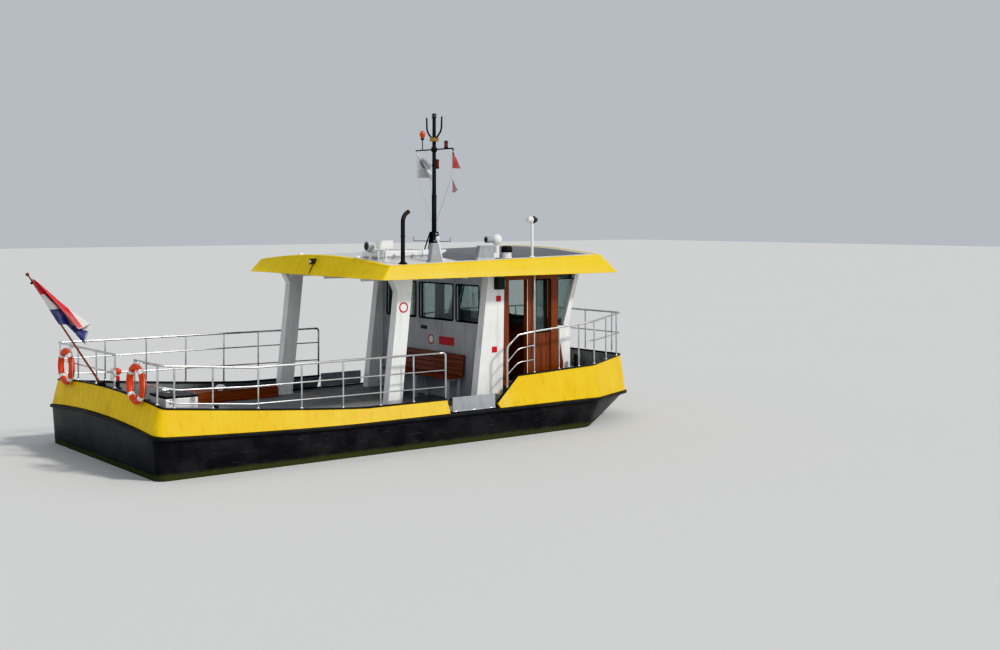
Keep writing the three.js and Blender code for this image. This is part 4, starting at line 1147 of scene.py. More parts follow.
class Rails:
    """Round steel bars and posts on the capping."""

    def post(self, guard: Guard, x: float, y: float, base: Point) -> Form:
        """An upright from the capping to the top bar, with a welded foot."""
        foot = float(LINES.top(np.array(base[0]), np.array(base[1]))) + 0.0275
        head = guard.raised("top", [(x, y)])[0, 2]
        flange = [(0.034, 0), (0.034, 0.007), (0.019, 0.014), (0.016, 0.02)]
        lean = 0.02 if LINES.gate_fore < x < LINES.slope_top else 0.0
        return tube([(x, y, foot - lean), (x, y, head)], 0.016) + lathe(flange, (x, y, foot + lean), 18)

    def elbow(self, guard: Guard, x: float, y: float, way: float) -> Form:
        """The top bar turned down into its end post."""
        head = guard.raised("top", [(x, y)])[0, 2]
        run = guard.raised("top", [(x + way * 0.16, y)])[0]
        foot = float(LINES.top(np.array(x), np.array(y))) + 0.02
        return bent([run, (x, y, head), (x, y, foot)], 0.07, 0.02, 14)

    def aft(self) -> None:
        """Both halves of the guard round the stern, with a gap to starboard of the staff."""
        for (name, side), gap in zip(SIDES, (-1.25, -0.43)):
            guard = AFT_GUARDS[side]
            plan = [(0.21, side * RAIL_Y), (-3.6, side * RAIL_Y), (-4.9, side * RAIL_Y),
                    (RAIL_X, side * RAIL_Y), (RAIL_X, gap)]
            bars = [bent(guard.raised("top", plan), 0.08, 0.02, 16)]
            bars.append(bent(guard.raised("mid", plan), 0.08, 0.013))
            bars.append(bent(guard.raised("low", [*plan[:3], (-5.1, side * RAIL_Y)]), 0.08, 0.013))
            bars.append(self.elbow(guard, 0.23, side * RAIL_Y, -1))
            along = (-4.95, -4.3, -3.5, -2.7, -1.9, -1.15, -0.46)
            bars += [self.post(guard, x, side * RAIL_Y, (x, LINES.half)) for x in along]
            across = (-2.15, -1.25) if side < 0 else (-0.43, 0.4, 1.25, 2.15)
            bars += [self.post(guard, RAIL_X, y, (LINES.stern, y)) for y in across]
            ends = joined([lathe([(0, -0.016), (0.019, -0.012), (0.02, 0), (0.019, 0.012), (0, 0.016)],
                                 guard.raised("top", [(RAIL_X, gap)])[0], 16, 1)])
            piece(f"rail_aft_{name}_bars", joined(bars) + ends, STEEL, stands_for=f"rail_aft_{name}")

    def fore(self) -> None:
        """The guard round the bow, its stair rails and the poles up to the roof."""
        plan = LINES.run(Part.FORE, -0.122)
        ends = np.array([(1.66, RAIL_Y), (1.9, RAIL_Y), (2.29, RAIL_Y)])
        beyond = plan[plan[:, 0] > 2.35]
        run = np.vstack([ends, beyond, ends[::-1] * [1, -1]])
        bow = plan[plan[:, 0] > 3.6]
        bars = [tube(FORE_GUARD.raised("top", run), 0.02, 16), tube(FORE_GUARD.raised("mid", bow), 0.013)]
        slope = (LINES.half - LINES.corner_y) / (LINES.bow - LINES.shoulder_x)
        for side in (-1, 1):
            stair = np.array([(1.64, side * RAIL_Y), (1.9, side * RAIL_Y), (2.29, side * RAIL_Y)])
            bars += [bent(FORE_GUARD.raised(bar, stair), 0.08, 0.013) for bar in ("mid", "low")]
            bars.append(self.elbow(FORE_GUARD, 1.64, side * RAIL_Y, 1))
            for x in (2.29, 2.9, 3.4, 3.8, 4.4, 4.95):
                y = side * (RAIL_Y - max(0.0, x - LINES.shoulder_x) * slope)
                bars.append(self.post(FORE_GUARD, x, y, (x, y)))
            pole = [(2.29, side * RAIL_Y, 1.9), (2.29, side * RAIL_Y, 2.995)]
            plate = [(0.06, 0), (0.06, -0.008), (0.03, -0.02)]
            bars += [tube(pole, 0.024, 16), lathe(plate, (2.29, side * RAIL_Y, 2.9995), 20)]
        bars += [self.post(FORE_GUARD, 5.198, y, (LINES.bow, y)) for y in (-1.25, -0.42, 0.42, 1.25)]
        piece("rail_fore_bars", joined(bars), STEEL, stands_for="rail_fore")

    def build(self) -> None:
        """Makes the pieces."""
        self.aft()
        self.fore()


# Roof


def roof_top(x: Array, y: Array) -> Array:
    """Crowned and rising forward: 3.24 + 0.11 t + 0.14 (1 - (y / 2.385)^2)."""
    rise = 0.11 * np.clip((x + 1.04) / 4.92, 0, 1)
    return 3.24 + rise + 0.14 * (1 - (y / 2.385) ** 2)


def on_roof(x: float, y: float) -> float:
    """Level of the roof's skin at a place."""
    return float(roof_top(np.array(x), np.array(y))) - 0.008


def rectangle(aft: float, fore: float, half: float, radius: float) -> Array:
    """A rectangle in plan with round corners and many points along each side."""
    long = np.linspace(aft + radius, fore - radius, 60)
    wide = np.linspace(-half + radius, half - radius, 41)
    corners = [(aft + radius, -half + radius), (fore - radius, -half + radius),
               (fore - radius, half - radius),
               (aft + radius, half - radius)]
    turns = [arc(c, radius, math.pi * (1 + k / 2), math.pi * (1.5 + k / 2), 7)
             for k, c in enumerate(corners)]
    return np.vstack([
        turns[0], np.column_stack([long, np.full(60, -half)])[1:-1],
        turns[1], np.column_stack([np.full(41, fore), wide])[1:-1],
        turns[2], np.column_stack([long[::-1], np.full(60, half)])[1:-1],
        turns[3], np.column_stack([np.full(41, aft), wide[::-1]])[1:-1],
    ])


@dataclass(frozen=True)
class Roof:
    """Flared yellow edge, crowned skin, ceiling and what stands on top.

    Each size is aft end, fore end and half width.
    """

    foot: Point = (-1.24, 4.25, 2.475)
    head: Point = (-1.04, 3.88, 2.385)
    panel: Point = (-0.98, 3.82, 2.325)

    def edge(self) -> Form:
        """The fascia as rings from its rolled foot to its head and back down inside."""
        outer, upper, inner = (rectangle(*size, 0.035) for size in (self.foot, self.head, self.panel))
        blend = [0.0, 0.012, 0.045, 0.055, 0.06, 0.5, 0.93, 0.945, 0.975, 1.0]
        swell = [-0.012, 0.0, 0.0, -0.006, -0.007, -0.007, -0.007, 0.0, 0.0, -0.012]
        centre = np.array([1.5, 0.0])
        rings = []
        for share, out in zip(blend, swell):
            plan = outer + share * (upper - outer)
            plan = plan + out * unit(plan - centre)
            level = 3.0 + share * (roof_top(*upper.T) - 3.0)
            rings.append(upright(plan, level))
        rings += [upright(inner, roof_top(*inner.T)), upright(inner, 3.0)]
        return grid(np.stack(rings), True, True)

    def skin(self) -> Form:
        """The panel across the roof, its underside in a second finish."""
        aft, fore, half = self.panel[0] + 0.0005, self.panel[1] - 0.0005, self.panel[2] - 0.0005
        y = np.linspace(half, -half, 49)
        x = np.linspace(aft, fore, 65)
        along, across = np.meshgrid(x, y, indexing="ij")
        top = np.stack([along, across, roof_top(along, across) - 0.008], -1)
        low = [np.stack([x, np.full_like(x, side * half), np.full_like(x, 3.0)], -1)[:, None]
               for side in (1, -1)]
        form = skin(np.concatenate([low[0], top, low[1]], 1))
        return recoated(form, 1, lambda centre: centre[:, 2] < 3.01)

    def ceiling(self) -> None:
        """Beams under the open part and round lights between them."""
        beams = [block(x, x + 0.05, -1.95, 1.95, 2.955, 2.9995) for x in (-0.75, -0.2, 0.35, 0.9)]
        beams += [block(-0.95, 1.38, y - 0.025, y + 0.025, 2.93, 2.9995) for y in (-1.3, 0.0, 1.3)]
        piece("ceiling_beams", joined(beams), WHITE, bevel=0.004)
        lamp = [(0.09, 0), (0.09, -0.02), (0.07, -0.035), (0, -0.045)]
        lights = joined([lathe(lamp, (x, y, 2.9995)) for x in (-0.45, 0.65) for y in (-0.65, 0.65)])
        piece("ceiling_lights", lights, CLEAR_LENS)

    def stern_light(self) -> None:
        """A black box with a lens on the aft edge, and the rust run below it."""
        box = block(-1.185, -1.09, 0.05, 0.15, 3.2, 3.31)
        lens = tube([(-1.186, 0.1, 3.225), (-1.186, 0.1, 3.285)], 0.024, 18)
        piece("stern_light", box + lens.coated(1), DARK, CLEAR_LENS)
        z = np.linspace(3.19, 3.02, 9)
        width = 0.008 + 0.012 * np.sin(np.linspace(0.4, 3.0, 9)) ** 2
        x = -1.24 + (z - 3.0) * 0.2 / 0.378 - 0.0015
        rings = np.stack([
            np.stack([x + depth, 0.1 + side * width, z], -1)
            for side, depth in ((-1, 0), (1, 0), (1, 0.003), (-1, 0.003))
        ], 1)
        piece("stern_light_rust_run", skin(rings), RUST)

    def exhaust(self) -> None:
        """The funnel pipe with clamps, and its bent, sooty mouth."""
        x, y = -0.64, -2.19
        foot = on_roof(x, y) + 0.01
        path = rounded([(x, y, foot), (x, y, 4.04), (x + 0.035, y, 4.125), (x + 0.125, y, 4.19)], 0.05)
        side, over = frames(path, False)
        ring = circle(0.038, 24)
        share = np.concatenate([np.ones(len(path)), [0.86, 0.84]])
        order = np.concatenate([np.arange(len(path)), [len(path) - 1, len(path) - 3]])
        rings = path[order][:, None] + share[:, None, None] * (
            ring[None, :, :1] * side[order][:, None] + ring[None, :, 1:] * over[order][:, None]
        )
        pipe = recoated(skin(rings), 1, lambda centre: centre[:, 2] > 4.05)
        flange = [(0.08, 0), (0.08, 0.012), (0.05, 0.02), (0.044, 0.05)]
        clamp = [(0.036, -0.012), (0.043, -0.01), (0.043, 0.01), (0.036, 0.012)]
        rings = joined([skin(spun(clamp, (x, y, z))) for z in (3.45, 3.75)])
        bolts = joined([
            lathe([(0.008, 0), (0.008, 0.008), (0, 0.01)],
                  (x + 0.064 * math.cos(a), y + 0.064 * math.sin(a), foot + 0.01), 6)
            for a in np.arange(6) * math.pi / 3
        ])
        piece("exhaust", pipe + lathe(flange, (x, y, foot - 0.01)) + rings + bolts, BLACK, SOOT,
              stands_for="exhaust_pipe")

    def lights(self) -> None:
        """Both searchlights and their stands."""
        x, y, z = -0.87, -1.48, 3.565
        drum = [(0, -0.074), (0.082, -0.079), (0.09, -0.074), (0.09, -0.05), (0.085, -0.045), (0.08, 0.03),
                (0.072, 0.052), (0.05, 0.062), (0, 0.064)]
        neck = lathe([(0.04, -0.11), (0.04, -0.1), (0.02, -0.095), (0.02, -0.05)], (x, y, z))
        yoke = bent([(x, y - 0.097, z), (x, y - 0.097, z - 0.1), (x, y + 0.097, z - 0.1),
                     (x, y + 0.097, z)], 0.04, 0.008)
        knobs = joined([lathe([(0.02, -0.01), (0.02, 0.01)], (x, y + s * 0.098, z), 18, 1) for s in (-1, 1)])
        # The aft-facing lens disc takes the near-black screen finish: painted shade on the lens, which faces
        # away from the light.
        rear = [(0, -0.076), (0.072, -0.08), (0.074, -0.077), (0, -0.073)]
        light = lathe(drum, (x, y, z), 36, 0) + neck + yoke + knobs
        light = light + lathe(rear, (x, y, z), 30, 0).coated(1)
        piece("searchlight_aft_lamp", light, PALE_AND_SHADE, SCREEN, body="searchlight_aft",
              stands_for="searchlight_aft")
        softened("searchlight_stand", WHITE, bevel=0.006)
        flange = [(0.07, -0.02), (0.07, 0.012), (0.03, 0.02)]
        spots = [(-0.87, -1.48, 0.0), (-0.845, -1.72, -0.2), (-0.69, -1.72, -0.2)]
        feet = joined([lathe([(r * (1 + k), h) for r, h in flange], (px, py, on_roof(px, py)), 20)
                       for px, py, k in spots])
        piece("searchlight_stand_feet", feet, WHITE)
        x, y, z = 1.505, -2.11, 3.668
        dome = lathe(bulb(0.1, 0.1, 17), (x, y, z), 36)
        barrel = [(0.05, -0.25), (0.056, -0.255), (0.062, -0.25), (0.062, -0.2), (0.056, -0.19),
                  (0.054, -0.05)]
        rear = lathe([(0.048, -0.252), (0.048, -0.247)], (x, y, z), 30, 0)
        neck = lathe([(0, -0.111), (0.05, -0.11), (0.05, -0.1), (0.03, -0.095), (0.03, -0.06)], (x, y, z))
        piece("searchlight_fore_lamp",
              dome + neck + lathe(barrel, (x, y, z), 32, 0).coated(1) + rear.coated(2),
              WHITE, GREY, SCREEN, body="searchlight_fore", stands_for="searchlight_fore")

    def footing(self, x0: float, x1: float, y0: float, y1: float, level: float) -> Form:
        """A plinth from the roof's skin up to a level."""
        plan = rectangle(x0, x1, (y1 - y0) / 2, 0.012) + [0, (y0 + y1) / 2]
        return skin(np.stack([upright(plan, roof_top(*plan.T) - 0.012), upright(plan, level)]))

    def boxes(self) -> None:
        """Casings, locker, vent and the lamp pole."""
        softened("casing_fore", GREY, WHITE, bevel=0.014, coating=lambda centre, normal: centre[:, 0] > 1.42)
        softened("casing_aft", GREY, bevel=0.02)
        lamp = [(0.03, 0), (0.034, 0.01), (0.034, 0.05), (0.024, 0.07), (0, 0.075)]
        strip = bent([(0.27, -2.1, 3.29), (0.215, -2.1, 3.5), (0.172, -2.1, 3.69)], 0.1, 0.022, 16)
        strip = strip + lathe(lamp, (0.17, -2.1, 3.67), 24)
        strip = strip + skin(spun([(0, 0), *((r * 1.6, h) for r, h in lamp[:3])], (0.272, -2.1, 3.285), 24))
        piece("casing_aft_lamp", strip, WHITE)
        softened("roof_locker", WHITE, bevel=0.03)
        nose = slab([(0.33, 3.372), (0.61, 3.38), (0.76, 3.452), (0.755, 3.48), (0.33, 3.48)], -1.56, -1.04)
        piece("roof_locker_nose", nose, WHITE, bevel=0.03)
        skirts = self.footing(-0.755, 0.6, -1.535, -1.065, 3.41)
        skirts = skirts + self.footing(1.0, 1.42, -2.185, -2.035, 3.335)
        skirts = skirts + self.footing(-0.045, 0.225, -2.175, -2.025, 3.315).coated(1)
        piece("roof_footings", skirts, PALE_AND_SHADE, GREY, slot="white", bevel=0.003)
        dome = [(0.055, 0), (0.055, 0.02), (0.045, 0.036), (0.02, 0.045), (0, 0.046)]
        domes = joined([lathe(dome, (x, y, on_roof(x, y)), 24) for x, y in ((-0.93, 0.93), (-0.93, -1.14))])
        piece("roof_domes", domes, WHITE)
        bands = joined([
            bent([(x, -1.563, 3.34), (x, -1.563, 3.483), (x, -1.037, 3.483), (x, -1.037, 3.37)], 0.03,
                 0.006, 8)
            for x in (-0.62, -0.2, 0.21)
        ])
        latches = joined([block(x - 0.025, x + 0.025, -1.568, -1.558, 3.37, 3.41) for x in (-0.41, 0.0)])
        piece("roof_locker_straps", bands + latches, GREY)
        vent = [(0.1, 0), (0.1, 0.012), (0.088, 0.02), (0.088, 0.14)]
        top = [(0.1, 3.428), (0.104, 3.434), (0.104, 3.5), (0.098, 3.53), (0.07, 3.546), (0, 3.55)]
        body = lathe(vent, (1.745, -2.11, on_roof(1.745, -2.11) - 0.006), 36)
        body = body + lathe(top, (1.745, -2.11, 0), 36).coated(1)
        piece("roof_vent_cowl", body, WHITE, BLACK, stands_for="roof_vent")
        x, y = 2.24, -2.255
        pole = tube([(x, y, on_roof(x, y)), (x, y, 3.99)], 0.028, 18)
        foot = lathe([(0.06, 0), (0.06, 0.01), (0.034, 0.03)], (x, y, on_roof(x, y) + 0.002))
        bracket = block(x - 0.02, x + 0.02, y - 0.02, y + 0.02, 3.96, 4.0)
        lamp = [(0.05, 0), (0.062, 0.006), (0.07, 0.02), (0.07, 0.034), (0.06, 0.05), (0.04, 0.1),
                (0, 0.108)]
        light = lathe(lamp, (0, y, 4.035), 30, 0)
        pair = light.turned(2, 180, (0, y, 0)).moved(x - 0.002) + light.moved(x + 0.006).coated(1)
        lens = lathe([(0.05, -0.002), (0.05, 0.004)], (x - 0.112, y, 4.035), 30, 0)
        piece("lamp_pole_lights", pole + foot + bracket + pair + lens.coated(2), WHITE, DARK, CLEAR_LENS,
              stands_for="lamp_pole")

    def build(self) -> None:
        """Makes the pieces."""
        piece("roof_fascia_edge", self.edge(), ROOF_YELLOW, stands_for="roof_fascia")
        piece("roof_skin", self.skin(), ROOF_SKIN, PALE_AND_SHADE, stands_for="roof_panel")
        self.ceiling()
        self.stern_light()
        self.exhaust()
        self.lights()
        self.boxes()


# Wheelhouse and supports


def raked_x(z: Array | float) -> Array | float:
    """Outer face of the wheelhouse front above its sill."""
    return 3.44 + 0.2615 * (np.asarray(z) - 1.96)


def on_rake(u: Array, v: Array) -> Array:
    """Places (u, v) as (y, z) on the raked front."""
    return np.stack([raked_x(v) + 0.002, u, v], -1)


@dataclass(frozen=True)
class House:
    """Walls, frames, doors, glass and the four supports. Windows are spans of Y."""

    aft_windows: Sequence[Point] = ((-1.57, -0.83), (-0.73, 0.43), (0.55, 1.62))
    front_windows: Sequence[Point] = ((-1.77, -0.64), (-0.58, 0.58), (0.64, 1.77))

    def walls(self) -> None:
        """Aft wall, raked front and pylons with window seals."""
        # The aft-facing faces of the aft wall, inside its corners, take light grey instead of white: painted
        # shade for the white face that lies in shade.
        softened("house_wall_aft", WHITE, PALE_AND_SHADE,
                 coating=lambda centre, normal: (normal[:, 0] < -0.9) & (np.abs(centre[:, 1]) < 1.785))
        softened("house_wall_front", WHITE, bevel=0.006)
        seals = [bead(plane(0, 1.498), (*w, 2.07, 2.78), 0.012) for w in self.aft_windows]
        seals += [bead(plane(0, 1.5615), (*w, 2.07, 2.78), 0.009) for w in self.aft_windows]
        piece("aft_window_seals", joined(seals), RUBBER)
        seals = [bead(on_rake, (*w, 2.06, 2.88), 0.013) for w in self.front_windows]
        piece("front_window_seals", joined(seals), RUBBER)
        for name, side in SIDES:
            softened(f"pylon_aft_{name}", WHITE)
            plate = block(-0.925, -0.55, side * 1.85, side * 2.075, 0.55, 0.56)
            nut = [(0.014, 0), (0.014, 0.012), (0.007, 0.013), (0.007, 0.02)]
            nuts = joined([lathe(nut, (x, side * y, 0.56), 6) for x in (-0.905, -0.57)
                           for y in (1.87, 1.962, 2.055)])
            piece(f"pylon_foot_{name}", plate + nuts.coated(1), WHITE, STEEL, bevel=0.0015)
        for node in ("aft_glass", "front_glass", "side_glass_starboard", "side_glass_port"):
            self.glaze(node, "boat")

    def glaze(self, node: str, body: str) -> None:
        """Gives a CAD pane its finish."""
        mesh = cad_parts[node].data
        mesh.materials.clear()
        mesh.materials.append(GLASS.material())
        LOG.info("%s: glazed, on %s", node, body)

    def signs(self) -> None:
        """Blank plates on the walls and supports."""
        def disc(place: Point, radius: float, axis: int) -> Form:
            """A round plate with a raised rim in a second finish."""
            inner = 0.72 * radius
            rim = [(inner, -0.003), (radius, -0.003), (radius, -0.0045), (inner, -0.0045)]
            plate = lathe([(radius, 0), (radius, -0.003)], place, 32, axis)
            return plate + grid(spun(rim, place, 32, axis), True, True).coated(1)

        signs = disc((-0.535, -2.0523, 2.485), 0.095, 1) + disc((1.4997, 0.015, 1.66), 0.1, 0)
        plates = block(1.495, 1.4997, -0.76, -0.26, 1.58, 1.74)
        plates = plates + block(1.6, 1.71, -1.975, -1.9703, 2.5, 2.61)
        plates = plates + block(1.5, 1.62, -1.975, -1.9703, 1.55, 1.66)
        dark = block(1.495, 1.4997, 0.16, 0.37, 1.85, 1.92)
        piece("blank_signs", signs + plates.coated(1) + dark.coated(2), WHITE, RED, DARK)

    def sidelights(self) -> None:
        """A lamp box at the head of each forward support, green to starboard and red to port."""
        for (name, side), lens in zip(SIDES, (GREEN_LENS, RED_LENS)):
            shade = skin(np.stack([
                np.array([(1.55, side * 1.9705, z), (1.74, side * 1.9705, z), (1.74, side * 2.06, z),
                          (1.57, side * 2.08, z)])
                for z in (2.73, 2.76, 2.93, 2.96)
            ]))
            lamp = tube([(1.745, side * 2.02, 2.77), (1.745, side * 2.02, 2.92)], 0.035, 20)
            piece(f"sidelight_{name}", shade + lamp.coated(1), DARK, lens, bevel=0.003)

    def frames(self) -> None:
        """Mahogany frames with boards below the window, a cream strip and seals."""
        def boards(centres: Array, normals: Array) -> Array:
            """True on the faces of the boards below the window."""
            x, _, z = centres.T
            low = (x > 2.57) & (x < 2.96) & (z > 0.95) & (z < 1.86)
            return low & (np.abs(normals[:, 1]) > 0.9)

        for name, side in SIDES:
            softened(f"side_frame_{name}", WOOD_UP, WOOD_PANEL, bevel=0.006, coating=boards)
            face = side * 1.9515
            strip = block(2.362, 2.378, face, face - side * 0.003, 0.95, 2.89)
            piece(f"door_stop_{name}", strip, BUOY_WHITE)
            rim = bead(plane(1, side * 1.951), (2.575, 2.955, 1.875, 2.885), 0.01)
            raked = [(3.14, 1.985), (3.36, 1.985), (3.58, 2.88), (3.14, 2.88)]
            bay = bent([(x, side * 1.935, z) for x, z in raked], 0.05, 0.01, 8, True)
            rail = tube([(1.79, side * 1.87, 0.965), (2.36, side * 1.87, 0.965)], 0.006, 8)
            piece(f"side_window_seals_{name}", rim + bay + rail.coated(1), RUBBER, CHROME)
            panel = [(2.6, 0.99), (2.93, 0.99), (2.93, 1.82), (2.6, 1.82)]
            mould = bent([(x, side * 1.931, z) for x, z in panel], 0.01, 0.009, 8, True)
            piece(f"panel_moulding_{name}", mould, WOOD_UP)

    def doors(self) -> None:
        """Sliding leaves with panel mouldings, a flush pull outside and a bar inside."""
        for (name, side), shift in zip(SIDES, (0.57, 0.0)):
            body = f"door_{name}"
            softened(f"door_{name}", WOOD_UP, body=body, bevel=0.004)
            self.glaze(f"door_glass_{name}", body)
            x = 1.89 + shift
            pull = lathe([(0.03, 0), (0.032, side * 0.003), (0.024, side * 0.003), (0.02, side * 0.001)],
                         (x + 0.06, side * 1.8352, 1.72), 24, 1)
            grip = bent([(x + 0.05, side * 1.7895, z) if inner else (x + 0.05, side * 1.755, z)
                                 for z, inner in ((1.5, True), (1.5, False), (1.76, False), (1.76, True))],
                                 0.02, 0.007)
            seal = bead(plane(1, side * 1.8362), (x + 0.07, x + 0.43, 1.87, 2.86), 0.006)
            mould = bent([(x + a, side * 1.8355, z)
                          for a, z in ((0.07, 1.0), (0.43, 1.0), (0.43, 1.78), (0.07, 1.78))], 0.01, 0.005,
                          8, True)
            piece(f"door_fittings_{name}", pull + grip + seal.coated(1) + mould.coated(2), CHROME, RUBBER,
                  WOOD_UP,
                  body=body, slot="mahogany")

    def wipers(self) -> None:
        """A wiper on each front window, and the grab rail under them."""
        arms = []
        for y0, y1 in self.front_windows:
            y = (y0 + y1) / 2
            place = on_rake(np.array([y, y + 0.22, y + 0.32]), np.array([2.02, 2.42, 2.28])) + [0.028, 0, 0]
            blade = on_rake(np.array([y + 0.16, y + 0.28]), np.array([2.2, 2.62])) + [0.018, 0, 0]
            foot = lathe([(0.024, -0.02), (0.02, 0.03), (0, 0.034)], place[0], 18, 0)
            arms += [tube(place[:2], 0.007, 8), tube(blade, 0.006, 8), foot]
        piece("window_wipers", joined(arms), DARK)
        rail = bent([(3.44, 1.75, 1.8), (3.5, 1.75, 1.8), (3.5, -1.75, 1.8), (3.44, -1.75, 1.8)],
                    0.04, 0.013)
        stays = joined([tube([(3.44, y, 1.8), (3.5, y, 1.8)], 0.009, 10) for y in (-0.9, 0.0, 0.9)])
        piece("front_grab_rail", rail + stays, STEEL)

    def build(self) -> None:
        """Makes the pieces."""
        self.walls()
        self.signs()
        self.sidelights()
        self.frames()
        self.doors()
        self.wipers()


# Furniture, helm and gear


class Furniture:
    """Bench, lockers, hatch, engine, flaps, lifebuoys and helm."""

    def bench(self) -> None:
        """Planks on a white frame."""
        planks = [block(1.062 + 0.077 * k, 1.062 + 0.077 * k + 0.07, -1.148, 1.148, 1.006, 1.029)
                  for k in range(5)]
        for k in range(4):
            z0, z1 = 1.045 + 0.1 * k, 1.045 + 0.1 * k + 0.09
            lean = [(1.4 + 0.1021 * (z - 0.98), z) for z in (z0, z1)]
            planks.append(slab([lean[0], (lean[0][0] + 0.022, z0), (lean[1][0] + 0.022, z1), lean[1]],
                               -1.148, 1.148))
        stand = []
        for y in (-1.08, 0.0, 1.08):
            stand += [block(1.1, 1.42, y - 0.02, y + 0.02, 0.965, 1.005),
                      block(1.11, 1.15, y - 0.02, y + 0.02, 0.551, 0.97),
                      block(1.36, 1.4, y - 0.02, y + 0.02, 0.551, 0.97),
                      block(1.09, 1.42, y - 0.025, y + 0.025, 0.551, 0.563)]
            back = [(1.405, 0.98), (1.437, 0.98), (1.486, 1.44), (1.464, 1.44)]
            stand.append(slab([(x + 0.02, z) if i in (0, 3) else (x, z) for i, (x, z) in enumerate(back)],
                              y - 0.018, y + 0.018))
        bench = joined(planks) + joined(stand).coated(1)
        piece("bench_planks", bench, WOOD_ACROSS, PALE_AND_SHADE, stands_for="bench", bevel=0.003)

    def lockers(self) -> None:
        """Side locker with its vent, and the deck locker with its lid."""
        softened("side_locker", WOOD_ALONG, WHITE, bevel=0.006,
                 coating=lambda centre, normal: centre[:, 2] > 0.7455)
        slats = joined([
            block(x0, x1, 1.648 + 0.083 * k, 1.722 + 0.083 * k, 0.746, 0.76)
            for x0, x1 in ((-2.84, -2.3), (-2.04, -1.05)) for k in range(5)
        ])
        piece("side_locker_slats", slats, WOOD_ALONG, bevel=0.003)
        softened("deck_locker", WHITE, bevel=0.01)
        softened("locker_lid", BLACK, body="locker_lid", slot="lid", bevel=0.01)
        hinges = joined([
            tube([(x - 0.04, -1.949, 1.205), (x + 0.04, -1.949, 1.205)], 0.006)
            + block(x - 0.04, x + 0.04, -1.945, -1.939, 1.13, 1.205)
            for x in (-4.85, -4.5)
        ])
        catch = block(-4.71, -4.64, -1.34, -1.333, 1.1, 1.2)
        piece("locker_hinges", hinges + catch, CHROME)
        handle = bent([(-4.76, -1.34, 1.2555), (-4.76, -1.34, 1.28), (-4.59, -1.34, 1.28),
                       (-4.59, -1.34, 1.2555)], 0.012, 0.006)
        piece("locker_lid_handle", handle, CHROME, body="locker_lid")

    def hatch(self) -> None:
        """The engine hatch with ribs for grip, and bright rings to lift it."""
        softened("engine_hatch", STEP_GREY, CHROME, body="engine_hatch",
                 coating=lambda centre, normal: (centre[:, 2] > 0.5905) & (centre[:, 0] < -3.2))
        strips = joined([block(x, x + 0.02, -0.44, 0.44, 0.5895, 0.593)
                         for x in np.linspace(-3.1, -2.55, 8)])
        piece("engine_hatch_treads", strips, STEP_GREY, body="engine_hatch")

    def engine(self) -> None:
        """A marine diesel: crankcase, four heads, manifolds, filter, belt wheel and gearbox."""
        parts = [
            block(-3.1, -2.55, -0.2, 0.2, -0.3, 0.02), block(-3.12, -2.53, -0.26, 0.26, -0.34, -0.26),
            block(-3.28, -3.1, -0.16, 0.16, -0.28, -0.02), block(-3.08, -2.57, -0.13, 0.13, 0.02, 0.14),
        ]
        parts += [block(x, x + 0.11, -0.1, 0.1, 0.14, 0.22) for x in (-3.06, -2.94, -2.82, -2.7)]
        parts += [lathe([(0.05, -0.24), (0.055, -0.2), (0.055, 0.2), (0.05, 0.24)],
                        (-2.83, 0.19, 0.1), 20, 0)]
        parts += [lathe([(0.075, 0), (0.075, 0.26), (0.06, 0.28)], (-2.64, -0.24, -0.02), 24)]
        dark = [lathe([(0.12, 0), (0.12, 0.02), (0.09, 0.03), (0.12, 0.04), (0.12, 0.06)],
                      (-2.54, 0, -0.12), 32, 0)]
        dark += [bent([(-3.05 + 0.12 * k, 0.13, 0.16), (-3.05 + 0.12 * k, 0.19, 0.2),
                       (-3.05 + 0.12 * k, 0.2, 0.14)], 0.03, 0.018)
                 for k in range(4)]
        dark += [bent([(-2.64, -0.24, 0.26), (-2.64, -0.1, 0.29), (-2.9, -0.06, 0.28), (-2.9, -0.05, 0.2)],
                      0.06, 0.02)]
        feet = [block(x, x + 0.08, s * 0.29 - 0.035, s * 0.29 + 0.035, -0.378, -0.27)
                for x in (-3.05, -2.66) for s in (-1, 1)]
        body = joined(parts) + joined(dark).coated(1) + joined(feet).coated(1)
        piece("engine_block", body, ENGINE, DARK, stands_for="engine", bevel=0.006)

    def flaps(self) -> None:
        """Boarding flaps with treads and hinge knuckles."""
        for name, side in SIDES:
            body = f"flap_{name}"
            softened(f"boarding_flap_{name}", GREY, body=body, bevel=0.004)
            inner = side * 2.3195
            treads = joined([
                block(0.36, 1.26, inner, inner - side * 0.004, z, z + 0.012)
                for z in np.linspace(0.63, 0.81, 6)
            ])
            knuckles = joined([tube([(x, side * 2.35, 0.59), (x + 0.1, side * 2.35, 0.59)], 0.016, 14)
                               for x in (0.36, 0.76, 1.16)])
            piece(f"boarding_flap_treads_{name}", treads + knuckles.coated(1), GREY, STEEL, body=body)

    def lifebuoys(self) -> None:
        """Rings in orange with four pale bands and a grab line, hung on hooks."""
        turn = np.arange(96) * (2 * math.pi / 96)
        for name, side in SIDES:
            centre = np.array([-5.278, side * 1.56, 1.445])
            ring = np.stack([np.zeros(96), np.cos(turn), np.sin(turn)], -1)
            body = tube(centre + 0.27 * ring, 0.054, 28, True)

            def banded(spot: Array, middle: Array = centre) -> Array:
                """True on the four pale bands, by the angle about the ring's middle."""
                angle = np.degrees(np.arctan2(spot[:, 2] - middle[2], spot[:, 1] - middle[1])) % 90
                return (angle > 38) & (angle < 52)

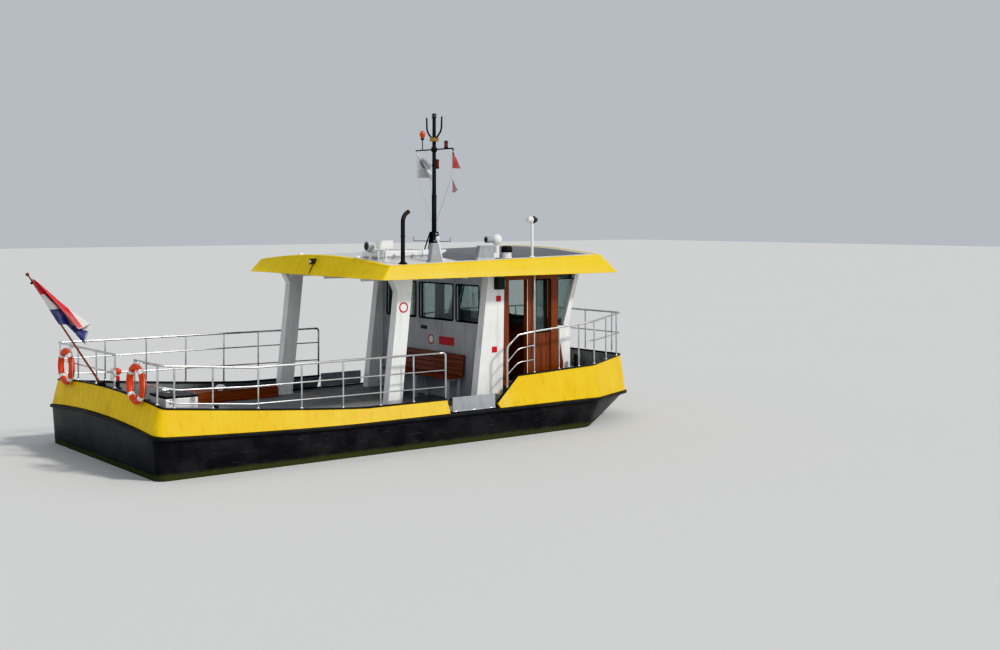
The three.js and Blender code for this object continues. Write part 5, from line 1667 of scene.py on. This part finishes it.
            slack = 0.333 + 0.012 * np.cos(4 * turn + math.pi)
            line = tube(centre + slack[:, None] * ring, 0.005, 8, True)
            clips = joined([
                tube([centre + r * np.array([0, math.cos(a), math.sin(a)]) for r in (0.315, 0.332)],
                     0.01, 10)
                for a in np.radians([45, 135, 225, 315])
            ])
            hooks = joined([
                bent([(-5.178, y, 1.78), (-5.24, y, 1.78), (-5.275, y, 1.76), (-5.275, y, 1.71)], 0.03,
                     0.007, 10)
                for y in (side * 1.56 - 0.06, side * 1.56 + 0.06)
            ])
            whole = recoated(body, 1, banded) + line.coated(2) + clips.coated(1) + hooks.coated(3)
            piece(f"lifebuoy_ring_{name}", whole, BUOY_ORANGE, BUOY_WHITE, ROPE, STEEL,
                  stands_for=f"lifebuoy_{name}")

    def throw_line(self) -> None:
        """A soft-ended canister and a lamp on a plate, clamped to the post at the stern gap."""
        x, y = -5.118, -0.33
        cap = bulb(0.055, 0.05, 11)
        case = lathe(np.vstack([cap[:6] - [0, 0.09], cap[5:] + [0, 0.09]]), (x, y, 1.525), 28, 1)
        lid = lathe([(0.059, -0.012), (0.059, 0.012)], (x, y + 0.07, 1.525), 28, 1)
        plate = block(x - 0.056, x - 0.046, y - 0.115, y + 0.115, 1.36, 1.56)
        lamp = lathe([(0.035, 0), (0.038, 0.01), (0.038, 0.06), (0.028, 0.085), (0, 0.09)],
                     (x, y - 0.06, 1.37), 24)
        clamps = joined([block(-5.2, x - 0.05, -0.452, -0.408, z, z + 0.035) for z in (1.39, 1.5)])
        piece("throw_line_case", case + lid.coated(1) + (plate + clamps).coated(1) + lamp.coated(2),
              BUOY_ORANGE, BUOY_WHITE, RED, bevel=0.002)

    def helm(self) -> None:
        """Console with screens, levers, dials, compass and wheel."""
        outline = [(2.96, 0.9003), (3.375, 0.9003), (3.375, 1.88), (3.24, 1.88), (2.96, 1.69)]
        case = slab(outline, -0.65, 0.65)
        panel = block(2.952, 2.962, -0.6, 0.6, 1.0, 1.6)
        slope = math.degrees(math.atan2(0.19, 0.28))
        dials = joined([
            lathe([(0.045, 0), (0.045, 0.012), (0.04, 0.014), (0, 0.01)], (3.06, y, 1.76), 24)
            for y in (0.24, 0.36, 0.48)
        ])
        dials = dials.turned(1, -slope, (3.06, 0, 1.76))
        screens = block(3.12, 3.18, -0.42, -0.04, 1.8, 2.12)
        screens = screens + block(3.1, 3.14, -0.4, -0.06, 1.82, 2.1).coated(1)
        screens = screens + block(3.13, 3.19, 0.06, 0.4, 1.86, 2.1)
        screens = screens + block(3.112, 3.14, 0.08, 0.38, 1.88, 2.08).coated(1)
        for y, low, high in ((-0.23, 1.78, 1.86), (0.23, 1.8, 1.9)):
            screens = screens + tube([(3.17, y, low), (3.17, y, high)], 0.02)
        piece("helm_console_case", case + panel.coated(1), WOOD_UP, WOOD_PANEL,
              stands_for="helm_console", bevel=0.008)
        piece("helm_screens", screens, DARK, SCREEN, bevel=0.004)
        levers = joined([
            tube([(3.02, y, 1.72), (2.99, y, 1.86)], 0.006, 10)
            + lathe([(0, -0.02), (0.016, -0.014), (0.02, 0), (0.014, 0.016), (0, 0.02)],
                    (2.988, y, 1.87), 20)
            for y in (-0.5, -0.44)
        ])
        dome = lathe([(0.07, 0), (0.075, 0.02), (0.06, 0.06), (0.03, 0.085), (0, 0.09)], (3.1, 0.0, 1.785))
        piece("helm_dials_and_levers", dials.coated(1) + levers + dome.coated(1), CHROME, DARK, slot="trim")
        turn = np.arange(64) * (2 * math.pi / 64)
        flat = np.stack([np.zeros(64), 0.19 * np.cos(turn), 0.19 * np.sin(turn)], -1)
        rim = tube(flat, 0.013, 12, True)
        spokes = joined([
            tube([(0, 0, 0), (0, 0.185 * math.cos(a), 0.185 * math.sin(a))], 0.009, 10)
            for a in np.radians([90, 210, 330])
        ])
        hub = lathe([(0, -0.02), (0.035, -0.016), (0.04, 0), (0.035, 0.02), (0.02, 0.1)], (0, 0, 0), 24, 0)
        wheel = (rim.coated(1) + spokes + hub).turned(1, math.degrees(0.5)).moved(2.9, 0, 1.64)
        piece("helm_wheel", wheel, CHROME, RUBBER, slot="trim")

    def seat(self) -> None:
        """Pedestal with a pan, and two filled cushions on it."""
        stem = [(0.19, 0), (0.19, 0.01), (0.17, 0.02), (0.06, 0.035), (0.045, 0.06), (0.045, 0.38),
                (0.055, 0.385),
                (0.055, 0.52), (0.09, 0.555), (0, 0.558)]
        pan = block(2.14, 2.54, -0.2, 0.2, 1.455, 1.468)
        back = slab([(2.14, 1.5), (2.155, 1.5), (2.085, 2.2), (2.07, 2.2)], -0.17, 0.17)
        ring = bent([(2.45, -0.16, 1.14), (2.5, 0.0, 1.14), (2.45, 0.16, 1.14)], 0.05, 0.01)
        piece("helm_seat_frame", lathe(stem, (2.33, 0, 0.9003), 32) + pan + back + ring, CHROME, slot="seat")

        def pillow(size: Point, bulge: float) -> Form:
            """A box of the size blown out: thickness grows by bulge * (1 - u^4)(1 - v^4)."""
            u, v = np.meshgrid(np.linspace(-1, 1, 25), np.linspace(-1, 1, 25), indexing="ij")
            swell = bulge * (1 - u**4) * (1 - v**4)
            crease = 0.006 * np.exp(-((np.abs(u) - 0.62) ** 2) / 0.0012)
            pinch = 1 - 0.04 * (u * v) ** 2
            upper = np.stack([u * pinch * size[0] / 2, v * pinch * size[1] / 2,
                              size[2] / 2 + swell - crease - bulge], -1)
            lower = upper * [1, 1, 0] + [0, 0, -size[2] / 2]
            edge = np.concatenate([np.arange(24), 24 + 25 * np.arange(24), 624 - np.arange(24),
                                   600 - 25 * np.arange(24)])
            rim = upper.reshape(-1, 3)[edge]
            base = lower.reshape(-1, 3)[edge]
            middle = (rim + base) / 2 * [1.03, 1.03, 1]
            return grid(upper) + grid(lower) + grid(np.stack([rim, middle, base]), loop_v=True)

        base = pillow((0.42, 0.45, 0.1), 0.02).moved(2.345, 0, 1.519)
        rest = pillow((0.62, 0.43, 0.075), 0.015).turned(1, -84.0).moved(2.175, 0, 1.9)
        for name, form in (("seat", base), ("back", rest)):
            cushion = piece(f"helm_{name}_cushion", form, LEATHER, weld=1e-4, sharp=80,
                            stands_for="helm_seat")

    def build(self) -> None:
        """Makes the pieces."""
        self.bench()
        self.lockers()
        self.hatch()
        self.engine()
        self.flaps()
        self.lifebuoys()
        self.throw_line()
        self.helm()
        self.seat()


class Drive:
    """Propeller and rudder."""

    def build(self) -> None:
        """Blades are grids: width and pitch angle follow the radius, thickness the chord."""
        share = np.linspace(0.12, 1.0, 22)
        pitch = np.radians(62 - 38 * share)
        half = np.interp(share, [0.1, 0.3, 0.45, 0.62, 0.75, 0.88, 0.96, 1.0],
                         [0.05, 0.078, 0.088, 0.089, 0.08, 0.06, 0.036, 0.012])
        thick = np.interp(share, [0.1, 0.5, 1.0], [0.011, 0.008, 0.002])
        turn = np.arange(28) * (2 * math.pi / 28)
        along = half[:, None] * np.cos(turn)
        over = thick[:, None] * np.sin(turn) * (0.25 + 0.75 * np.abs(np.sin(turn)))
        rings = np.stack([
            -4.62 + along * np.sin(pitch)[:, None] + over * np.cos(pitch)[:, None],
            along * np.cos(pitch)[:, None] - over * np.sin(pitch)[:, None],
            np.broadcast_to(share[:, None] * 0.229, along.shape),
        ], -1)
        blade = skin(rings)
        fan = joined([blade.turned(0, 90 * k) for k in range(4)])
        boss = [(0, -0.075), (0.03, -0.07), (0.04, -0.055), (0.047, -0.03), (0.054, 0.05), (0.055, 0.065)]
        nut = lathe([(0.014, -0.095), (0.02, -0.088), (0.02, -0.07)], (-4.62, 0, 0), 6, 0)
        shaft = tube([(-4.68, 0, 0), (-4.536, 0, 0)], 0.024, 24)
        form = (fan + lathe(boss, (-4.62, 0, 0), 36, 0) + nut + shaft).moved(0, 0, -0.47)
        piece("propeller_wheel", form, BRONZE, body="propeller", stands_for="propeller")
        x = np.linspace(0, 1, 24)
        foil = 0.026 * (2.1 * np.sqrt(x) * (1 - x) ** 0.9 + 0.02 * (1 - x))
        outline = np.vstack([
            np.column_stack([-4.83 - 0.34 * x, foil]),
            np.column_stack([-4.83 - 0.34 * x, -foil])[::-1][1:-1],
        ])
        share = [0.9, 1.0, 1.0, 1.0, 1.0, 0.9]
        height = [-0.705, -0.695, -0.55, -0.4, -0.25, -0.24]
        middle = np.array([-4.98, 0.0])
        rings = np.stack([upright(middle + (outline - middle) * [1, s], z) for s, z in zip(share, height)])
        bands = joined([
            slab([(-5.1, z), (-4.86, z), (-4.86, z + 0.02), (-5.1, z + 0.02)], -0.0275, 0.0275)
            for z in (-0.62, -0.35)
        ])
        stock = tube([(-4.98, 0, -0.26), (-4.98, 0, -0.2)], 0.024, 24)
        piece("rudder_blade", skin(rings) + bands + stock, TOPSIDES, body="rudder", stands_for="rudder")


# Mast, staff and cloth


@dataclass(frozen=True)
class Flag:
    """A flag that hangs from a line.

    head and foot are the ends of its hoist, fly its length, lead the way it starts out,
    gust the sideways pull while it settles, and widths its length at places down the hoist
    as shares of fly. bending, mass and drag are the cloth's.
    """

    name: str
    head: Point
    foot: Point
    fly: float
    lead: Point
    gust: Point
    cloth: Finish
    body: str
    rests_on: tuple[str, ...]
    columns: int = 46
    frames: int = 70
    ripple: float = 0.03
    widths: tuple[float, ...] = (1.0, 1.0)
    bending: float = 0.05
    mass: float = 0.06
    drag: float = 1.0

    def build(self, *nodes: str) -> Object:
        head, foot, lead = (np.array(v, float) for v in (self.head, self.foot, self.lead))
        hoist = float(np.linalg.norm(foot - head))
        down = (foot - head) / hoist
        lead = lead - (lead @ down) * down
        lead = lead / np.linalg.norm(lead)
        rows = max(8, int(self.columns * hoist / self.fly))
        s, t = np.meshgrid(np.linspace(0, 1, rows), np.linspace(0, 1, self.columns), indexing="ij")
        normal = np.cross(down, lead)
        wave = self.ripple * t * np.sin(t * 7.0 + s * 2.0)
        width = np.interp(s, np.linspace(0, 1, len(self.widths)), self.widths) * self.fly
        wave = wave[..., None] * normal
        spots = head + s[..., None] * (foot - head) + (t * width)[..., None] * lead + wave
        obj = piece(self.name, grid(spots), self.cloth, body=self.body, slot="cloth", sharp=180)
        mesh = obj.data
        layer = mesh.uv_layers.new(name="UVMap")
        corner = np.empty(len(mesh.loops), np.int32)
        mesh.loops.foreach_get("vertex_index", corner)
        uv = np.stack([t.ravel(), 1 - s.ravel()], -1)[corner]
        layer.data.foreach_set("uv", uv.astype(np.float32).ravel())
        self.settle(obj, np.flatnonzero(t.ravel() == 0))
        if nodes:
            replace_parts(obj, *nodes)
        middles = (np.array(self.widths[1:]) + self.widths[:-1]) / 2
        area = None if min(self.widths) == 1 else self.fly * hoist * float(middles.mean())
        list(self.rests_on)
        return obj

    def settle(self, obj: Object, pinned: Array) -> None:
        """Runs the cloth under gravity and a steady pull, then keeps its last shape."""
        scene = bpy.context.scene
        held = obj.vertex_groups.new(name="hoist")
        held.add(pinned.tolist(), 1.0, "REPLACE")
        cloth = obj.modifiers.new("cloth", "CLOTH")
        adjust(cloth.settings, quality=6, mass=self.mass, tension_stiffness=60, compression_stiffness=60,
               shear_stiffness=30, bending_stiffness=self.bending, air_damping=self.drag,
               vertex_group_mass="hoist")
        cloth.collision_settings.use_self_collision = False
        adjust(cloth.point_cache, frame_start=1, frame_end=self.frames)
        usual = scene.gravity.copy()
        scene.gravity = Vector(self.gust) + usual
        for number in range(1, self.frames + 1):
            scene.frame_set(number)
        settled = bpy.data.meshes.new_from_object(obj.evaluated_get(bpy.context.evaluated_depsgraph_get()))
        old, name = obj.data, obj.data.name
        obj.modifiers.clear()
        obj.vertex_groups.clear()
        obj.data = settled
        bpy.data.meshes.remove(old)
        settled.name = name
        scene.gravity = usual
        scene.frame_set(1)
        LOG.info("%s: settled in %d frames", obj.name, self.frames)


@dataclass(frozen=True)
class Rig:
    """Mast on its tabernacle, with lanterns, aerials, halyards and flags, and the ensign at the stern."""

    x: float = 1.56

    def at(self, y: float, z: float, x: float = 0.0) -> tuple[float, float, float]:
        """A place on the mast's plane."""
        return (self.x + x, y, z)

    def lantern(self, y: float, foot: float, height: float, radius: float, x: float = 0.0) -> Form:
        """A lamp with a base, a lens in a second finish and a cap."""
        base = [(radius * 0.8, 0), (radius, 0.012), (radius, 0.03)]
        lens = [(radius * 0.92, 0.03), (radius * 0.86, height / 2), (radius * 0.92, height - 0.03)]
        cap = [(radius, height - 0.03), (radius, height - 0.018), (radius * 0.5, height)]
        place = self.at(y, foot, x)
        return lathe(base, place) + lathe(lens, place, 30).coated(1) + lathe(cap, place)

    def mast(self) -> None:
        """Pole, upper pole, yard, forked aerials and lanterns."""
        pole = lathe([(0.044, 3.69), (0.048, 3.7), (0.048, 4.47), (0.04, 4.5)], (self.x, 0, 0), 32)
        upper = lathe([(0.041, 4.48), (0.035, 6.06)], (self.x, 0, 0))
        collars = joined([
            skin(spun([(0.02, z - h), (r - 0.004, z - h), (r, z - h * 0.8), (r, z + h * 0.8),
                       (r - 0.004, z + h),
                       (0.02, z + h)], (self.x, 0, 0)))
            for z, r, h in ((4.5, 0.051, 0.02), (5.12, 0.046, 0.02), (5.43, 0.058, 0.045),
                            (5.63, 0.045, 0.02))
        ])
        yard = tube([self.at(-0.648, 5.43), self.at(0.648, 5.43)], 0.014, 16)
        tip = bent([self.at(-0.6, 5.43), self.at(-0.648, 5.42), self.at(-0.65, 5.37)], 0.03, 0.012)
        stalk = tube([self.at(0.41, 5.43), self.at(0.41, 5.65)], 0.01)
        bracket = tube([self.at(0, 5.12), self.at(0, 5.12, 0.07)], 0.012)
        fork = joined([
            bent([self.at(0, 5.63), self.at(s * 0.13, 5.69), self.at(s * 0.25, 5.81),
                  self.at(s * 0.262, 6.08)], 0.07, 0.017, 14)
            for s in (-1, 1)
        ])
        frame_form = pole + upper + collars + yard + tip + stalk + bracket + fork
        piece("mast_pole", frame_form, BLACK, body="mast", slot="mast", stands_for="mast")
        piece("mast_top_light", self.lantern(0, 6.05, 0.1, 0.048), DARK, SMOKED_LENS, body="mast",
              slot="mast")
        base = lathe([(0.03, 0), (0.034, 0.01), (0.036, 0.035), (0.03, 0.045)], self.at(0.41, 5.635), 24)
        pear = [(0.03, 0.04), (0.05, 0.07), (0.058, 0.105), (0.056, 0.13), (0.044, 0.165), (0.024, 0.187),
                (0, 0.193)]
        piece("mast_signal_light", base + lathe(pear, self.at(0.41, 5.635), 32).coated(1), DARK, AMBER_LENS,
              body="mast",
              slot="mast")
        piece("mast_dark_lights",
              self.lantern(-0.41, 5.43, 0.16, 0.042) + self.lantern(0, 5.05, 0.19, 0.045, 0.07),
              DARK, DUSKY_LENS, body="mast", slot="mast")
        clamp = block(self.x - 0.05, self.x + 0.05, -0.085, 0.085, 5.59, 5.67)
        bolts = joined([lathe([(0.012, 0), (0.012, 0.01), (0, 0.012)], (self.x + 0.05, y, 5.63), 6, 0)
                        for y in (-0.065, 0.065)])
        piece("mast_fork_clamp", clamp + bolts, BRONZE, body="mast", bevel=0.008)

    def tabernacle(self) -> None:
        """Cheeks with the pin's bolt heads, bolts at the foot and a strut."""
        softened("tabernacle", BLACK, PALE_AND_SHADE, slot="grey", bevel=0.003,
                 coating=lambda centre, normal: np.abs(centre[:, 1]) > 0.0875)
        heads = joined([
            lathe([(0.024, 0), (0.024, s * 0.014)], (self.x, s * 0.0725, 3.75), 6, 1) for s in (-1, 1)
        ])
        bolts = joined([
            lathe([(0.011, 0), (0.011, 0.01), (0, 0.012)], (self.x + x, y, on_roof(1.56, 0) + 0.012), 6)
            for x in (-0.09, 0.09) for y in (-0.035, 0.035)
        ])
        strut = tube([(1.53, 0.1, 3.78), (1.39, 0.1, on_roof(1.39, 0.1))], 0.014)
        piece("tabernacle_bolts", heads + bolts + strut.coated(1), STEEL, BLACK)

    def halyards(self) -> None:
        """Thin lines from the yard to the mast's foot, and their cleats. They fold with the mast."""
        runs = [
            [self.at(0.62, 5.418), self.at(0.6, 4.9), self.at(0.05, 3.95)],
            [self.at(-0.62, 5.418), self.at(-0.61, 4.9), self.at(-0.05, 3.95)],
            [self.at(0.3, 5.42), self.at(0.04, 4.4)],
        ]
        lines = joined([bent(run, 0.4, 0.0035, 8) for run in runs])
        cleats = joined([tube([self.at(y - 0.03, 3.95), self.at(y + 0.03, 3.95)], 0.008, 10)
                         for y in (-0.05, 0.05)])
        piece("halyards", lines + cleats.coated(1), ROPE, DARK, body="mast")

    def staff(self) -> None:
        """Varnished staff in a socket, leaning aft, with a ball at its tip."""
        foot, tip = np.array([-5.262, 0, 1.3]), np.array([-6.46, 0, 3.14])
        line = foot + np.linspace(0, 1, 12)[:, None] * (tip - foot)
        pole = skin(hoops(line, circle(1.0, 18), np.linspace(0.018, 0.012, 12)))
        ball = lathe(bulb(0.03, 0.03, 13), (-6.474, 0, 3.158), 24)
        level = float(LINES.top(np.array(-5.3), np.array(0.0))) + 0.0278
        socket = slab([(-5.3, level), (-5.18, level), (-5.18, level + 0.03), (-5.22, level + 0.06),
                       (-5.3, level + 0.06)], -0.045, 0.045)
        truck = tube([(-6.395, 0.0, 3.0), (-6.42, 0.0, 3.03)], 0.022, 14)
        piece("ensign_staff_pole", pole + ball + socket.coated(1) + truck.coated(1), WOOD_ALONG, BLACK,
              stands_for="ensign_staff")

    def flags(self) -> None:
        """The ensign and the small flags on the halyards."""
        tip, foot = np.array([-6.46, 0, 3.14]), np.array([-5.262, 0, 1.262])
        head, end = (tuple(tip + share * (foot - tip) + [0.012, -0.018, 0.0]) for share in (0.03, 0.4))
        Flag("ensign_cloth", head, end, 1.1, (0.75, -0.6, -0.5), (7.0, -5.4, 0.0), ENSIGN, "boat",
             ("ensign_staff_pole",), 44, 70, 0.08, bending=0.4).build("ensign")
        Flag("house_flag", self.at(0.618, 5.39), self.at(0.612, 4.88), 0.42, (0.75, -0.6, -0.5),
             (5.0, -3.9, 0.0),
             HOUSE_FLAG, "mast", ("halyards",), 36, 50, 0.02, bending=0.1, mass=0.03).build()
        Flag("pennant_upper", self.at(-0.625, 5.36), self.at(-0.622, 5.04), 0.2, (0.9, 0.3, -0.1),
             (7.0, 0.4, 0.0),
             PENNANT, "mast", ("halyards",), 26, 40, 0.012, (0.12, 1.0), bending=0.1, mass=0.03).build()
        Flag("pennant_lower", self.at(-0.62, 4.83), self.at(-0.616, 4.57), 0.2, (0.9, 0.3, -0.2),
             (4.0, 0.4, 0.0),
             FADED_PENNANT, "mast", ("halyards",), 26, 40, 0.012, (0.1, 0.55, 1.0, 0.2), bending=0.1,
             mass=0.03).build()

    def build(self) -> None:
        """Makes the pieces."""
        self.mast()
        self.tabernacle()
        self.halyards()
        self.staff()
        self.flags()


# Studio


class Studio:
    """Camera, floor and light."""

    def camera(self) -> None:
        """The viewpoint: behind the starboard quarter, level, a little above the roof."""
        lens = bpy.data.cameras.new("camera")
        adjust(lens, lens=47.876, sensor_width=36.0, shift_y=-0.10865, clip_end=400.0)
        lens.dof.use_dof = False
        camera = bpy.data.objects.new("camera", lens)
        camera.location = (-13.623, -21.736, 4.1)
        camera.rotation_euler = (math.pi / 2, 0, math.radians(-37.77))
        bpy.context.scene.collection.objects.link(camera)
        bpy.context.scene.camera = camera

    def floor(self) -> None:
        """A pale floor at the level of the water."""
        mesh = bpy.data.meshes.new("floor")
        mesh.from_pydata([(-150, -150, 0), (150, -150, 0), (150, 150, 0), (-150, 150, 0)], [],
                         [(0, 1, 2, 3)])
        graph = Graph("floor")
        tone = graph.mix(graph.noise(0.15, 2) * 0.15, (0.62, 0.62, 0.61), (0.56, 0.565, 0.57))
        mesh.materials.append(graph.done(base_color=tone, roughness=0.85))
        floor = bpy.data.objects.new("floor", mesh)
        bpy.context.scene.collection.objects.link(floor)

    def light(self) -> None:
        """A soft sun from forward and starboard, and a pale surround."""
        for name, way, strength, spread in (
            ("key", (-0.42, 0.72, -0.75), 2.5, 7.0), ("fill", (0.5, 0.7, -0.4), 0.3, 40.0),
        ):
            lamp = bpy.data.lights.new(name, "SUN")
            lamp.energy = strength
            lamp.angle = math.radians(spread)
            lamp.color = (1.0, 0.97, 0.92) if name == "key" else (0.92, 0.96, 1.0)
            obj = bpy.data.objects.new(name, lamp)
            obj.rotation_euler = Vector(way).to_track_quat("-Z", "Y").to_euler()
            bpy.context.scene.collection.objects.link(obj)
        world = bpy.data.worlds.new("surround")
        world.use_nodes = True
        back = world.node_tree.nodes["Background"]
        back.inputs[0].default_value = (0.82, 0.87, 0.93, 1.0)
        back.inputs[1].default_value = 0.62
        bpy.context.scene.world = world
        bpy.context.scene.view_settings.view_transform = "Khronos PBR Neutral"

    def build(self) -> None:
        """Sets the studio up."""
        self.camera()
        self.floor()
        self.light()


def main() -> None:
    """Builds the boat."""
    logging.basicConfig(level=logging.INFO, format="%(name)s %(message)s")
    Studio().build()
    for part in (Hull(), Rails(), Roof(), House(), Furniture(), Drive(), Rig()):
        part.build()
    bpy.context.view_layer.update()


if __name__ == "__main__":
    main()
